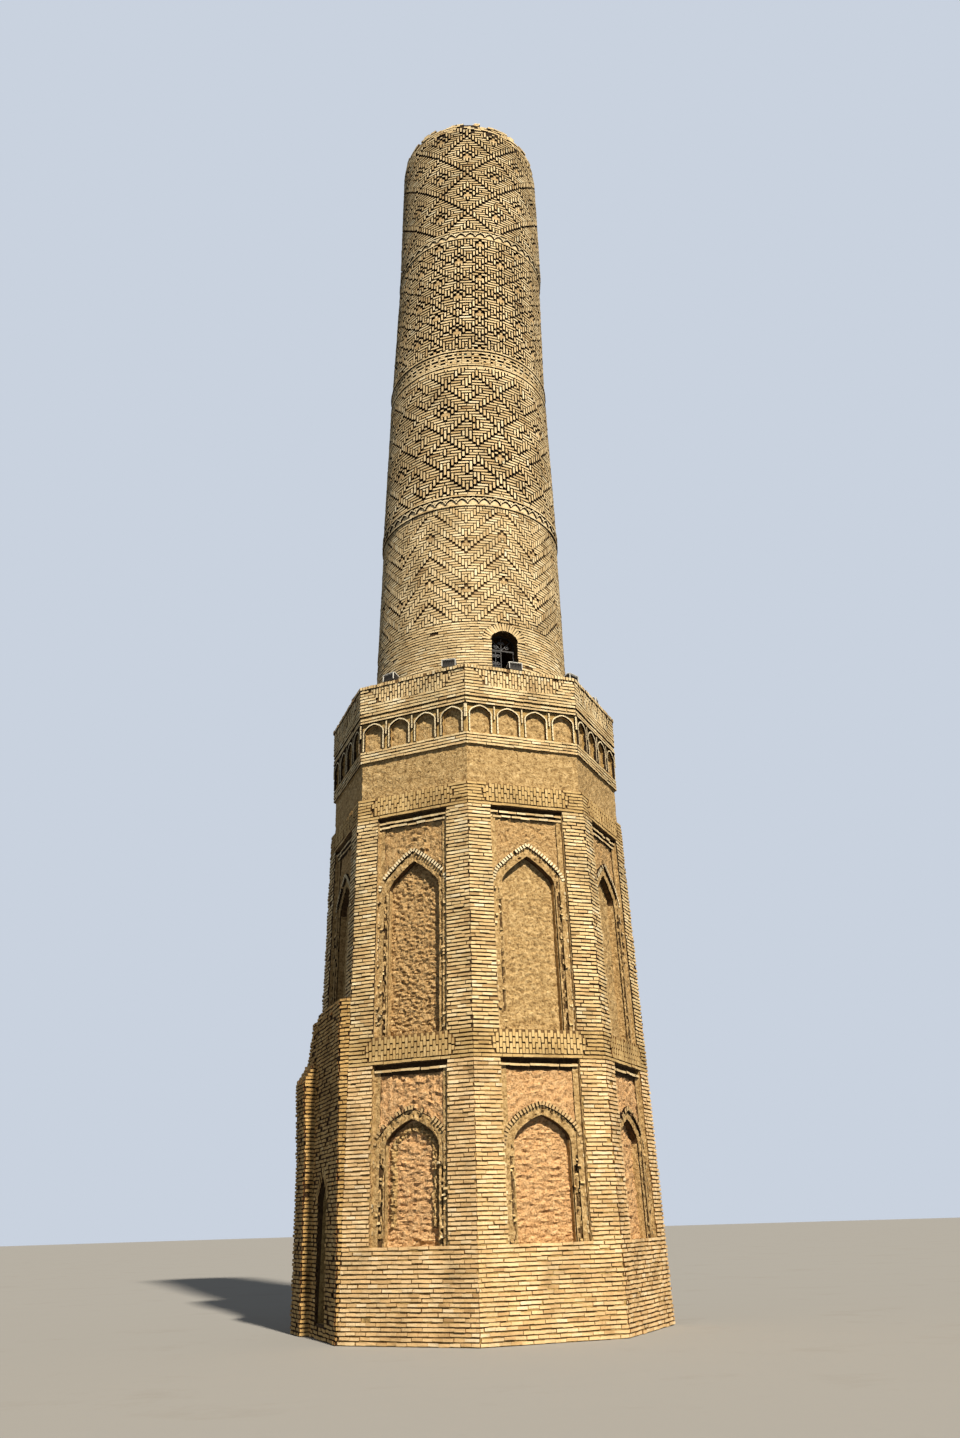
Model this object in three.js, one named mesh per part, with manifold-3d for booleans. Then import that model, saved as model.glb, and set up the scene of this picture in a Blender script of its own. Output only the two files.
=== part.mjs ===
// Brick minaret: a battered octagonal base with two tiers of arched niches, a plaster collar,
// a parapeted gallery and a tall tapering round shaft in four patterned zones with a broken rim.
// Millimetres, +Z up, origin on the ground under the middle of the base, door side towards -Y.
import * as THREE from "three";
import { mergeVertices } from "three/addons/utils/BufferGeometryUtils.js";
import Module from "manifold-3d";

const wasm = await Module();
wasm.setup();

// Clearance where a sloping or turned face stands beside its neighbour.
const GAP = 0.3;
const FACES = 8;
const RAD = Math.PI / 180;

// Octagonal base: circumradius at the ground, and how fast it draws in with height.
const BASE_RADIUS = 4183;
const BASE_DRAW = 0.02599;
const FLOOR = 300;
const WELL_RADIUS = 1700;

// Heights of the base's courses.
const SILL = 1780;
const LOWER_TOP = 5464;
const MIDDLE_TOP = 6077;
const UPPER_TOP = 11280;
const BASE_TOP = 11850;
const PANEL_DEPTH = 25;

// Niche surrounds: a stepped frame with an arched opening over a plaster infill.
const FRAME_HALF = 930;
const FRAME_DEPTH = 100;
const FILLET_HALF = 790;
const FILLET_DROP = 230;
const SPANDREL_DEPTH = 150;
const INFILL_DEPTH = 330;
const LOWER_ARCH = { half: 660, spring: 3700, apex: 4305 };
const UPPER_ARCH = { half: 670, spring: 9380, apex: 10115 };

// Entrance: a plumb brick facing with a pointed doorway, and a buttress beside it.
const ENTRANCE_FACE = 6;
const FACING_X = -3900;
const FACING_TOP = 7050;
const FACING_END = 1100;
const BUTTRESS_END = 2100;
const BUTTRESS_X = -4110;
const BUTTRESS_HEAD = -4190;
const ENTRANCE_ARCH = { half: 435, spring: 2720, apex: 3270 };

// Gallery: plaster collar, arcaded base, parapet and coping, all octagonal.
const COLLAR_RADIUS = 3780;
const COLLAR_TOP = 12830;
const GALLERY_RADIUS = 3830;
const GALLERY_SHADOW = 13970;
const GALLERY_STEP = 30;
const WALK = 14100;
const PARAPET_TOP = 14860;
const PARAPET_RADIUS = 3880;
const PARAPET_THICK = 350;
const COPING_RADIUS = 3905;
const COPING_TOP = 14950;
const ARCADE = { pitch: 735, half: 270, bottom: 13150, spring: 13620, apex: 13845, depth: 90 };

// Round shaft: its axis leans a little, and each zone has its own taper.
const SHAFT_SIDES = 48;
const SHAFT_WELL_FOOT = 1500;
const SHAFT_WELL_TOP = 1350;
const RIM = 36000;
const COURSE = 87;
// Each zone runs from z0 to z1 with radii r0 and r1, its axis off the base's axis by o0 and o1.
const LEAN_X = 0.937;
const LEAN_Y = -0.349;
const ZONES = {
  shaft_foot: { z0: WALK, z1: 16830, r0: 2705, r1: 2640, o0: -35, o1: 0 },
  shaft_zone_4: { z0: 16830, z1: 20540, r0: 2640, r1: 2560, o0: 0, o1: 63 },
  shaft_zone_3: { z0: 20910, z1: 25580, r0: 2540, r1: 2400, o0: 69, o1: 135 },
  shaft_zone_2: { z0: 26280, z1: 30870, r0: 2370, r1: 2275, o0: 143, o1: 300 },
  shaft_zone_1: { z0: 31230, z1: RIM, r0: 2305, r1: 2235, o0: 335, o1: 400 },
};
const LEDGED = {
  shaft_band_3: { z0: 20540, z1: 20910, r: 2570, o0: 63, o1: 69 },
  shaft_band_1: { z0: 30870, z1: 31230, r: 2310, o0: 300, o1: 335 },
};
const MEANDER = { z0: 25580, z1: 26280, r: 2400, fillet: 60, proud: 35, o0: 135, o1: 143 };
const LEDGE = { height: 45, proud: 30 };

// Gallery door in the shaft's foot, and its wrought iron grille.
const DOOR = { half: 365, sill: 14300, spring: 16300, apex: 16570, transom: 16110 };
const IRON = 40;
const GRILLE_Y = -2350;

// Floodlights standing on the coping.
const LIGHT = { width: 340, height: 300, depth: 180, apothem: 3400 };
const LIGHTS_SEEN = 6;
const LIGHTS = 12;
const LIGHT_FIRST = -85;
const LIGHT_PITCH = 28;

const PAINT = {
  brick: [0xb99a6c, 0.9, 0],
  pale: [0xcdb283, 0.9, 0],
  plaster: [0xb39a72, 0.95, 0],
  iron: [0x1b1a19, 0.5, 0.6],
  lamp: [0x3a3d40, 0.5, 0.5],
};

const group = new THREE.Group();

// A boolean solid from a three.js geometry.
function solid(geometry) {
  geometry.deleteAttribute("normal");
  geometry.deleteAttribute("uv");
  const merged = mergeVertices(geometry, 1e-3);
  const kept = [];
  const index = merged.index.array;
  for (let i = 0; i < index.length; i += 3) {
    const [a, b, c] = [index[i], index[i + 1], index[i + 2]];
    if (a !== b && b !== c && c !== a) kept.push(a, b, c);
  }
  const vertProperties = new Float32Array(merged.attributes.position.array);
  const triVerts = new Uint32Array(kept);
  return new wasm.Manifold(new wasm.Mesh({ numProp: 3, vertProperties, triVerts }));
}

// A named mesh from a boolean solid.
function node(name, body, paint) {
  const mesh = body.getMesh();
  const geometry = new THREE.BufferGeometry();
  geometry.setAttribute("position", new THREE.BufferAttribute(mesh.vertProperties, 3));
  geometry.setIndex(new THREE.BufferAttribute(mesh.triVerts, 1));
  geometry.computeVertexNormals();
  const [color, roughness, metalness] = PAINT[paint];
  const material = new THREE.MeshStandardMaterial({ color, roughness, metalness });
  material.name = paint;
  const made = new THREE.Mesh(geometry, material);
  made.name = name;
  group.add(made);
  return body;
}

// Profile points [radius, height] turned round +Z, with the first side starting at an angle from -Y.
function turned(points, sides, start = 0, change = null) {
  const profile = points.map(([r, z]) => new THREE.Vector2(r, z));
  const geometry = new THREE.LatheGeometry(profile, sides, start * RAD, 2 * Math.PI);
  geometry.rotateX(Math.PI / 2);
  if (change) geometry.applyMatrix4(change);
  return geometry;
}

// A closed ring profile between two heights.
function ringProfile(out0, out1, in0, in1, z0, z1) {
  return [[in0, z0], [out0, z0], [out1, z1], [in1, z1], [in0, z0]];
}

// A vertical cylinder solid.
function cylinder(radius, z0, z1, sides = 32) {
  return solid(turned([[0, z0], [radius, z0], [radius, z1], [0, z1]], sides));
}

// An eight-sided solid with the given radii, its flat sides facing the compass points between.
function octagon(r0, r1, z0, z1) {
  return solid(turned([[0, z0], [r0, z0], [r1, z1], [0, z1]], FACES, -22.5));
}

// Box between two corners.
function box(low, high) {
  const size = high.map((v, i) => v - low[i]);
  const geometry = new THREE.BoxGeometry(size[0], size[1], size[2]);
  geometry.translate(low[0] + size[0] / 2, low[1] + size[1] / 2, low[2] + size[2] / 2);
  return solid(geometry);
}

// Everything between two heights.
function slab(z0, z1) {
  return box([-9000, -9000, z0], [9000, 9000, z1]);
}

// Flat outline pushed out along local +Z and carried by a matrix.
function prism(outline, near, far, matrix) {
  const shape = new THREE.Shape(outline.map(([x, y]) => new THREE.Vector2(x, y)));
  const geometry = new THREE.ExtrudeGeometry(shape, { depth: far - near, bevelEnabled: false });
  geometry.translate(0, 0, near);
  geometry.applyMatrix4(matrix);
  return solid(geometry);
}

// Circumradius of the battered base at a height.
function baseRadius(z) {
  return BASE_RADIUS - BASE_DRAW * z;
}

// Frame of a side face: local X along it, local Y up it, local Z out of it.
function faceMatrix(face, radius, draw = 0) {
  const angle = (-90 + 45 * face) * RAD;
  const flat = Math.cos(22.5 * RAD);
  const tilt = Math.atan(draw * flat);
  const away = new THREE.Vector3(Math.cos(angle), Math.sin(angle), 0);
  const up = new THREE.Vector3(0, 0, 1);
  const along = new THREE.Vector3(-away.y, away.x, 0);
  const out = away.clone().multiplyScalar(Math.cos(tilt)).addScaledVector(up, Math.sin(tilt));
  const rise = up.multiplyScalar(Math.cos(tilt)).addScaledVector(away, -Math.sin(tilt));
  const matrix = new THREE.Matrix4().makeBasis(along, rise, out);
  return matrix.setPosition(away.multiplyScalar(radius * flat));
}

// One half of a pointed arch from the springing to the apex: a tight haunch, then a flatter curve.
function haunch({ half, spring, apex }, steps = 4) {
  const rise = apex - spring;
  const tight = 0.62 * half * Math.min(1, rise / (0.9 * half));
  const turn = 45 * RAD;
  const knee = [half - tight + tight * Math.cos(turn), tight * Math.sin(turn)];
  const chord = Math.hypot(knee[0], rise - knee[1]);
  const lean = Math.atan2(rise - knee[1], knee[0]);
  const bend = Math.PI / 2 - turn - lean;
  const points = [];
  for (let i = 0; i <= steps; i++) {
    const a = (turn * i) / steps;
    points.push([half - tight + tight * Math.cos(a), spring + tight * Math.sin(a)]);
  }
  const sag = (chord / 2) * Math.tan(bend / 2);
  for (let i = 1; i <= steps; i++) {
    const t = i / steps;
    const lift = 4 * sag * t * (1 - t);
    const x = knee[0] * (1 - t) + lift * Math.sin(lean);
    points.push([i === steps ? 0 : x, spring + knee[1] + (rise - knee[1]) * t + lift * Math.cos(lean)]);
  }
  return points;
}

// Outline of an arched opening down to a bottom height.
function archOutline(arch, bottom, steps = 4) {
  const right = haunch(arch, steps);
  const left = right.slice(0, -1).reverse().map(([x, z]) => [-x, z]);
  return [[-arch.half, bottom], [arch.half, bottom], ...right, ...left];
}

// Rectangle outline centred on local X.
function rectangle(half, low, high) {
  return [[-half, low], [half, low], [half, high], [-half, high]];
}

// Height at which a face's niche starts.
function nicheFoot(face, tier) {
  if (tier === "lower") return SILL;
  return face === ENTRANCE_FACE ? FACING_TOP : MIDDLE_TOP;
}

// Faces that carry a niche in a tier.
function nicheFaces(tier) {
  return [...Array(FACES).keys()].filter((face) => tier === "upper" || face !== ENTRANCE_FACE);
}

// Arched passage through the entrance side, from outside to the well.
function passage() {
  const matrix = faceMatrix(ENTRANCE_FACE, 0);
  return prism(archOutline(ENTRANCE_ARCH, FLOOR), 1200, 4700, matrix);
}

// Octagonal ring of the base between two heights, hollowed by the well.
function baseRing(z0, z1) {
  const body = octagon(baseRadius(z0), baseRadius(z1), z0, z1);
  return body.subtract(cylinder(WELL_RADIUS, Math.max(FLOOR, z0 - 10), z1 + 10));
}

function plinth() {
  node("plinth", baseRing(0, SILL).subtract(passage()), "brick");
}

// A tier of the base's wall with its niche recesses.
function tierWall(tier, z0, z1) {
  let body = baseRing(z0, z1);
  for (const face of nicheFaces(tier)) {
    const foot = nicheFoot(face, tier);
    const matrix = faceMatrix(face, BASE_RADIUS, BASE_DRAW);
    const recess = prism(rectangle(FRAME_HALF, z0 - 300, z1 + 300), -INFILL_DEPTH, 200, matrix);
    body = body.subtract(foot > z0 ? recess.intersect(slab(foot, z1 + 100)) : recess);
  }
  return body;
}

// The stepped frame and pierced arch spandrel set in each niche recess.
function surround(face, tier, arch, z1) {
  const foot = nicheFoot(face, tier);
  const matrix = faceMatrix(face, BASE_RADIUS, BASE_DRAW);
  const block = prism(rectangle(FRAME_HALF - GAP, foot - 300, z1 + 300), GAP - INFILL_DEPTH, -FRAME_DEPTH, matrix);
  const pocket = prism(rectangle(FILLET_HALF, foot - 400, z1 - FILLET_DROP), -SPANDREL_DEPTH, 100, matrix);
  const opening = prism(archOutline(arch, foot - 400), -INFILL_DEPTH - 100, 100, matrix);
  const body = block.subtract(pocket).subtract(opening);
  node(`niche_${tier}_${face}`, body.intersect(slab(foot + GAP, z1 - GAP)), "pale");
}

// A plain band of the base with a shallow panel with pointed ends on each face.
function baseBand(name, z0, z1, top) {
  let body = baseRing(z0, z1);
  const middle = z0 + (z1 - z0) * 0.52;
  const outline = [[-1050, z0 + 85], [1050, z0 + 85], [1160, middle], [950, z1 - top]];
  const full = [...outline, [-950, z1 - top], [-1160, middle]];
  for (let face = 0; face < FACES; face++) {
    const matrix = faceMatrix(face, BASE_RADIUS, BASE_DRAW);
    body = body.subtract(prism(full, -PANEL_DEPTH, 100, matrix));
  }
  node(name, body, "brick");
}

// Plumb brick facing on the entrance side, dying into the next face's plane.
function entranceFacing() {
  const battered = octagon(baseRadius(0) + GAP * 1.2, baseRadius(FACING_TOP) + GAP * 1.2, 0, FACING_TOP);
  const block = box([FACING_X, -2200, 0], [-3500, FACING_END, FACING_TOP]);
  const matrix = faceMatrix(ENTRANCE_FACE + 1, BASE_RADIUS, BASE_DRAW);
  const beyond = prism(rectangle(4000, -500, FACING_TOP + 500), 0, 3000, matrix);
  node("entrance_facing", block.subtract(beyond).subtract(battered).subtract(passage()), "brick");
}

// Buttress on the corner beside the facing, sloping back to the wall at its top.
function cornerButtress() {
  const outline = [
    [BUTTRESS_X, 0],
    [-3300, 0],
    [-3300, 7000],
    [-3790, 7000],
    [-3830, 6600],
    [FACING_X, 6000],
    [BUTTRESS_HEAD, 5500],
    [BUTTRESS_X, 3700],
  ];
  const basis = [new THREE.Vector3(1, 0, 0), new THREE.Vector3(0, 0, 1), new THREE.Vector3(0, -1, 0)];
  const matrix = new THREE.Matrix4().makeBasis(...basis);
  const body = prism(outline, -BUTTRESS_END, -FACING_END, matrix);
  const battered = octagon(baseRadius(0) + GAP * 1.2, baseRadius(7100) + GAP * 1.2, 0, 7100);
  node("corner_buttress", body.subtract(battered), "brick");
}

function base() {
  plinth();
  node("lower_tier", tierWall("lower", SILL, LOWER_TOP).subtract(passage()), "brick");
  baseBand("middle_band", LOWER_TOP, MIDDLE_TOP, 85);
  node("upper_tier", tierWall("upper", MIDDLE_TOP, UPPER_TOP), "brick");
  baseBand("top_band", UPPER_TOP, BASE_TOP, 85);
  for (const face of nicheFaces("lower")) surround(face, "lower", LOWER_ARCH, LOWER_TOP);
  for (const face of nicheFaces("upper")) surround(face, "upper", UPPER_ARCH, UPPER_TOP);
  entranceFacing();
  cornerButtress();
}

function galleryBase() {
  const profile = [
    [0, COLLAR_TOP],
    [GALLERY_RADIUS, COLLAR_TOP],
    [GALLERY_RADIUS, GALLERY_SHADOW],
    [GALLERY_RADIUS + GALLERY_STEP, GALLERY_SHADOW],
    [GALLERY_RADIUS + GALLERY_STEP, WALK],
    [0, WALK],
  ];
  let body = solid(turned(profile, FACES, -22.5));
  body = body.subtract(cylinder(WELL_RADIUS, COLLAR_TOP - 10, WALK + 10));
  for (let face = 0; face < FACES; face++) {
    for (let bay = 0; bay < 4; bay++) {
      const matrix = faceMatrix(face, GALLERY_RADIUS);
      matrix.multiply(new THREE.Matrix4().makeTranslation((bay - 1.5) * ARCADE.pitch, 0, 0));
      const outline = archOutline(ARCADE, ARCADE.bottom, 2);
      body = body.subtract(prism(outline, -ARCADE.depth, 100, matrix));
    }
  }
  node("gallery_base", body, "brick");
}

function parapet() {
  const flat = Math.cos(22.5 * RAD);
  const inner = (GALLERY_RADIUS * flat - PARAPET_THICK) / flat;
  const wall = ringProfile(GALLERY_RADIUS + GALLERY_STEP, PARAPET_RADIUS, inner, inner, WALK, PARAPET_TOP);
  node("parapet", solid(turned(wall, FACES, -22.5)), "brick");
  const cap = ringProfile(COPING_RADIUS, COPING_RADIUS, inner - 25, inner - 25, PARAPET_TOP, COPING_TOP);
  node("coping", solid(turned(cap, FACES, -22.5)), "brick");
}

function gallery() {
  const ring = octagon(COLLAR_RADIUS, COLLAR_RADIUS, BASE_TOP, COLLAR_TOP);
  node("plaster_collar", ring.subtract(cylinder(WELL_RADIUS, BASE_TOP - 10, COLLAR_TOP + 10)), "plaster");
  galleryBase();
  parapet();
}

// Shear that carries a zone's axis from its offset at the foot to its offset at the top.
function lean({ z0, z1, o0, o1 }) {
  const slope = (o1 - o0) / (z1 - z0);
  const start = o0 - slope * z0;
  const x = [slope * LEAN_X, start * LEAN_X];
  const y = [slope * LEAN_Y, start * LEAN_Y];
  return new THREE.Matrix4().set(1, 0, x[0], x[1], 0, 1, y[0], y[1], 0, 0, 1, 0, 0, 0, 0, 1);
}

// Radius of the shaft's well at a height.
function wellRadius(z) {
  return SHAFT_WELL_FOOT + ((SHAFT_WELL_TOP - SHAFT_WELL_FOOT) * (z - WALK)) / (RIM - WALK);
}

// A ring of the shaft between two heights.
function shaftRing(zone) {
  const { z0, z1, r0, r1 } = zone;
  return turned(ringProfile(r0, r1, wellRadius(z0), wellRadius(z1), z0, z1), SHAFT_SIDES, 0, lean(zone));
}

// Height of the worn rim at an angle from -Y, in whole courses.
function rimHeight(angle) {
  const swell = 95 + 190 * Math.cos(angle + 80 * RAD) + 40 * Math.sin(3 * angle + 1.2);
  const teeth = 45 * Math.sin(11 * angle) + 30 * Math.sin(23 * angle + 0.7);
  return RIM + COURSE * Math.round((swell + teeth) / COURSE);
}

// The top zone, its rim broken down unevenly.
function brokenZone(zone) {
  const profile = ringProfile(zone.r0, zone.r1, wellRadius(zone.z0), wellRadius(zone.z1), zone.z0, zone.z1);
  const geometry = turned(profile, SHAFT_SIDES);
  const place = geometry.attributes.position;
  for (let i = 0; i < place.count; i++) {
    if (place.getZ(i) > zone.z1 - 1) {
      const step = (2 * Math.PI) / SHAFT_SIDES;
      const side = Math.round(Math.atan2(place.getX(i), -place.getY(i)) / step);
      const inside = Math.hypot(place.getX(i), place.getY(i)) < zone.r1 - 100;
      place.setZ(i, rimHeight(((side + SHAFT_SIDES) % SHAFT_SIDES) * step) - (inside ? 60 : 0));
    }
  }
  geometry.applyMatrix4(lean(zone));
  return solid(geometry);
}

// A narrow ring with a small ledge along its foot.
function ledgeBand(name, band) {
  const { z0, z1, r } = band;
  const profile = [
    [wellRadius(z0), z0],
    [r + LEDGE.proud, z0],
    [r + LEDGE.proud, z0 + LEDGE.height],
    [r, z0 + LEDGE.height],
    [r, z1],
    [wellRadius(z1), z1],
    [wellRadius(z0), z0],
  ];
  node(name, solid(turned(profile, SHAFT_SIDES, 0, lean(band))), "pale");
}

// The meander band between two fillets.
function meanderBand() {
  const { z0, z1, r, fillet, proud } = MEANDER;
  const profile = [
    [wellRadius(z0), z0],
    [r + proud, z0],
    [r + proud, z0 + fillet],
    [r, z0 + fillet],
    [r, z1 - fillet],
    [r + proud, z1 - fillet],
    [r + proud, z1],
    [wellRadius(z1), z1],
    [wellRadius(z0), z0],
  ];
  node("shaft_band_2", solid(turned(profile, SHAFT_SIDES, 0, lean(MEANDER))), "pale");
}

// The gallery doorway through the shaft's wall.
function doorway() {
  const stand = new THREE.Matrix4().makeRotationX(Math.PI / 2);
  return prism(archOutline(DOOR, DOOR.sill), 1000, 3200, stand);
}

function shaft() {
  node("shaft_foot", solid(shaftRing(ZONES.shaft_foot)).subtract(doorway()), "brick");
  for (const name of ["shaft_zone_4", "shaft_zone_3", "shaft_zone_2"]) {
    node(name, solid(shaftRing(ZONES[name])), "pale");
  }
  node("shaft_zone_1", brokenZone(ZONES.shaft_zone_1), "pale");
  for (const [name, band] of Object.entries(LEDGED)) ledgeBand(name, band);
  meanderBand();
}

// Arched iron frame with a transom bar, and the one leaf that hangs in it.
function grille() {
  const stand = new THREE.Matrix4().makeRotationX(Math.PI / 2);
  const outer = { half: DOOR.half - GAP, spring: DOOR.spring, apex: DOOR.apex - GAP };
  const inner = { half: DOOR.half - IRON, spring: DOOR.spring, apex: DOOR.apex - IRON };
  const frame = prism(archOutline(outer, DOOR.sill), -GRILLE_Y, -GRILLE_Y + IRON, stand);
  const head = prism(archOutline(inner, DOOR.transom + IRON), -GRILLE_Y - 50, -GRILLE_Y + 90, stand);
  const way = prism(rectangle(DOOR.half - IRON, DOOR.sill - 50, DOOR.transom), -GRILLE_Y - 50, -GRILLE_Y + 90, stand);
  node("door_frame", frame.subtract(head).subtract(way), "iron");
  const left = -DOOR.half + IRON + GAP;
  const leaf = box([left, GRILLE_Y - 32, DOOR.sill + 12], [-2, GRILLE_Y - 8, DOOR.transom - 4]);
  let body = leaf;
  const rails = 4;
  const pitch = (DOOR.transom - 4 - DOOR.sill - 12 - 24) / rails;
  for (let i = 0; i < rails; i++) {
    const low = DOOR.sill + 36 + i * pitch;
    body = body.subtract(box([left + 24, GRILLE_Y - 60, low], [-26, GRILLE_Y + 20, low + pitch - 24]));
  }
  node("door_leaf", body, "iron");
}

// Box floodlights on the coping, tilted up at the shaft: the seen ones, and the rest spaced round.
function floodlights() {
  for (let i = 0; i < LIGHTS; i++) {
    const rest = (360 - LIGHT_PITCH * (LIGHTS_SEEN - 1)) / (LIGHTS - LIGHTS_SEEN + 1);
    const extra = Math.max(0, i - LIGHTS_SEEN + 1);
    const angle = LIGHT_FIRST + LIGHT_PITCH * Math.min(i, LIGHTS_SEEN - 1) + rest * extra;
    const { width, height, depth } = LIGHT;
    const outline = [
      [-60, 0],
      [60, 0],
      [60, 50],
      [depth / 2 + 20, 80],
      [depth / 2 - 50, height],
      [-depth / 2 - 50, height - 70],
      [-depth / 2 + 10, 50],
      [-60, 50],
    ];
    // Local X outwards, local Y up, local Z along the parapet.
    const a = (angle - 90) * RAD;
    const out = new THREE.Vector3(Math.cos(a), Math.sin(a), 0);
    const up = new THREE.Vector3(0, 0, 1);
    const matrix = new THREE.Matrix4().makeBasis(out, up, out.clone().cross(up));
    const off = angle - 45 * Math.round(angle / 45);
    const radius = LIGHT.apothem / Math.cos(off * RAD);
    matrix.setPosition(out.clone().multiplyScalar(radius).addScaledVector(up, COPING_TOP));
    node(`floodlight_${i + 1}`, prism(outline, -width / 2, width / 2, matrix), "lamp");
  }
}

base();
gallery();
shaft();
grille();
floodlights();

export default group;
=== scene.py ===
"""A free-standing brick minaret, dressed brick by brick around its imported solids.

Every brick, rib, plaster coat and iron scroll is laid on the wall that the solids give. Lengths are metres.
"""

import logging
import math
from dataclasses import dataclass, field
from enum import Enum
from functools import lru_cache
from itertools import groupby
from typing import Callable, Iterator

import bmesh
import bpy
import numpy as np
from mathutils import Matrix, Vector, noise


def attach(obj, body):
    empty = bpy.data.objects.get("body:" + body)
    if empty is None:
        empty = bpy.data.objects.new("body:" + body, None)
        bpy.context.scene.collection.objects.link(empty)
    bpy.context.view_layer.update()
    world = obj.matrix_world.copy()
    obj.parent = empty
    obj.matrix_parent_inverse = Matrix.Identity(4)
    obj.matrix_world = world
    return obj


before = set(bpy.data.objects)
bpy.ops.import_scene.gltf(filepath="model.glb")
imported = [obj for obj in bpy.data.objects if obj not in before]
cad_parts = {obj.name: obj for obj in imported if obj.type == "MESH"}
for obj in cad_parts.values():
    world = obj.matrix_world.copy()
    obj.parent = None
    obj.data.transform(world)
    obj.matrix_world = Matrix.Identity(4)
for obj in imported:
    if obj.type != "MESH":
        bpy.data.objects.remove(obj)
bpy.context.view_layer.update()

LOG = logging.getLogger("minaret")
BODY = "root"

# Brick format, as laid in the piers: one course is a brick and its raked joint.
COURSE = 0.087
BRICK_TALL = 0.060
BRICK_LONG = 0.236
HEAD_JOINT = 0.0015
SHORTEST = 0.045
PROUD = 0.027
EMBED = 0.02
# Every second course is shifted by half a brick, and courses run a little past a corner.
BOND = 0.12
CORNER_LAP = 0.008

# Each side of the octagon spans twice the tangent of its corner angle, for a unit apothem.
FACES = 8
FLAT = math.cos(math.radians(22.5))
HALF_SIDE = math.tan(math.radians(22.5))

# Octagonal base, as in the solids: circumradius at the ground and its draw with height.
BASE_RADIUS = 4.183
BASE_DRAW = 0.02599
SILL = 1.78
LOWER_TOP = 5.464
MIDDLE_TOP = 6.077
UPPER_TOP = 11.28
BASE_TOP = 11.85
FRAME_HALF = 0.93
FRAME_DEPTH = 0.10
FILLET_HALF = 0.79
FILLET_DROP = 0.23
SPANDREL_DEPTH = 0.15
INFILL_DEPTH = 0.33
DOOR_FACE = 0
ENTRANCE_FACE = 6
WORN_FACE = 7
FACING_TOP = 7.05

# An arch's half is two curves of this many steps, and its apex is the point with this number.
ARCH_STEPS = 12
APEX = 2 * ARCH_STEPS

Point = np.ndarray
# A coat of plaster: a function from two shares, across and up, to a point, and its columns and rows.
Coat = tuple[Callable[[float, float], Point], int, int]

MULTIPLY = {"data_type": "RGBA", "blend_type": "MULTIPLY"}
WHITE = "ffffff"


def linear(hex_colour: str) -> tuple[float, float, float, float]:
    """Turns an sRGB hex colour to the linear values that Blender's sockets take.

    Args:
        hex_colour: Six hex digits.

    Returns:
        Linear red, green, blue and an alpha of one.
    """
    parts = [int(hex_colour[i:i + 2], 16) / 255 for i in (0, 2, 4)]
    return (*(c / 12.92 if c <= 0.04045 else ((c + 0.055) / 1.055) ** 2.4 for c in parts), 1.0)


def add_node(tree: bpy.types.NodeTree, kind: str, inputs: dict | None = None,
             **settings: object) -> bpy.types.Node:
    """Adds one shader node with its settings and its links.

    Args:
        tree: The material's node tree.
        kind: The node's type.
        inputs: Values or sockets by input name or number.
        settings: Properties of the node.

    Returns:
        The new node.
    """
    made = tree.nodes.new(kind)
    for key, value in settings.items():
        setattr(made, key, value)
    for key, value in (inputs or {}).items():
        if isinstance(value, bpy.types.NodeSocket):
            tree.links.new(value, made.inputs[key])
        else:
            made.inputs[key].default_value = value
    return made


def set_ramp(ramp: bpy.types.Node, colours: tuple[str, ...], stops: tuple[float, ...] | None = None) -> None:
    """Sets a colour ramp's stops.

    Args:
        ramp: The colour ramp node.
        colours: Hex colours from low to high.
        stops: Places of the colours, or None to space them evenly.
    """
    places = stops or tuple(i / (len(colours) - 1) for i in range(len(colours)))
    elements = ramp.color_ramp.elements
    while len(elements) < len(colours):
        elements.new(1.0)
    for element, place, colour in zip(elements, places, colours):
        element.position = place
        element.color = linear(colour)


@dataclass(frozen=True)
class Finish:
    """A finish that a piece is given, by the name of its real material."""

    name: str

    def material(self) -> bpy.types.Material:
        """Makes the finish's material once.

        Returns:
            The material.
        """
        made = bpy.data.materials.get(self.name)
        if made is None:
            made = bpy.data.materials.new(self.name)
            made.use_nodes = True
            self.paint(made.node_tree, made.node_tree.nodes["Principled BSDF"])
        return made

    def paint(self, tree: bpy.types.NodeTree, shader: bpy.types.Node) -> None:
        """Sets the shader and its pattern nodes.

        Args:
            tree: The material's node tree.
            shader: Its Principled shader.
        """
        raise NotImplementedError


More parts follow.
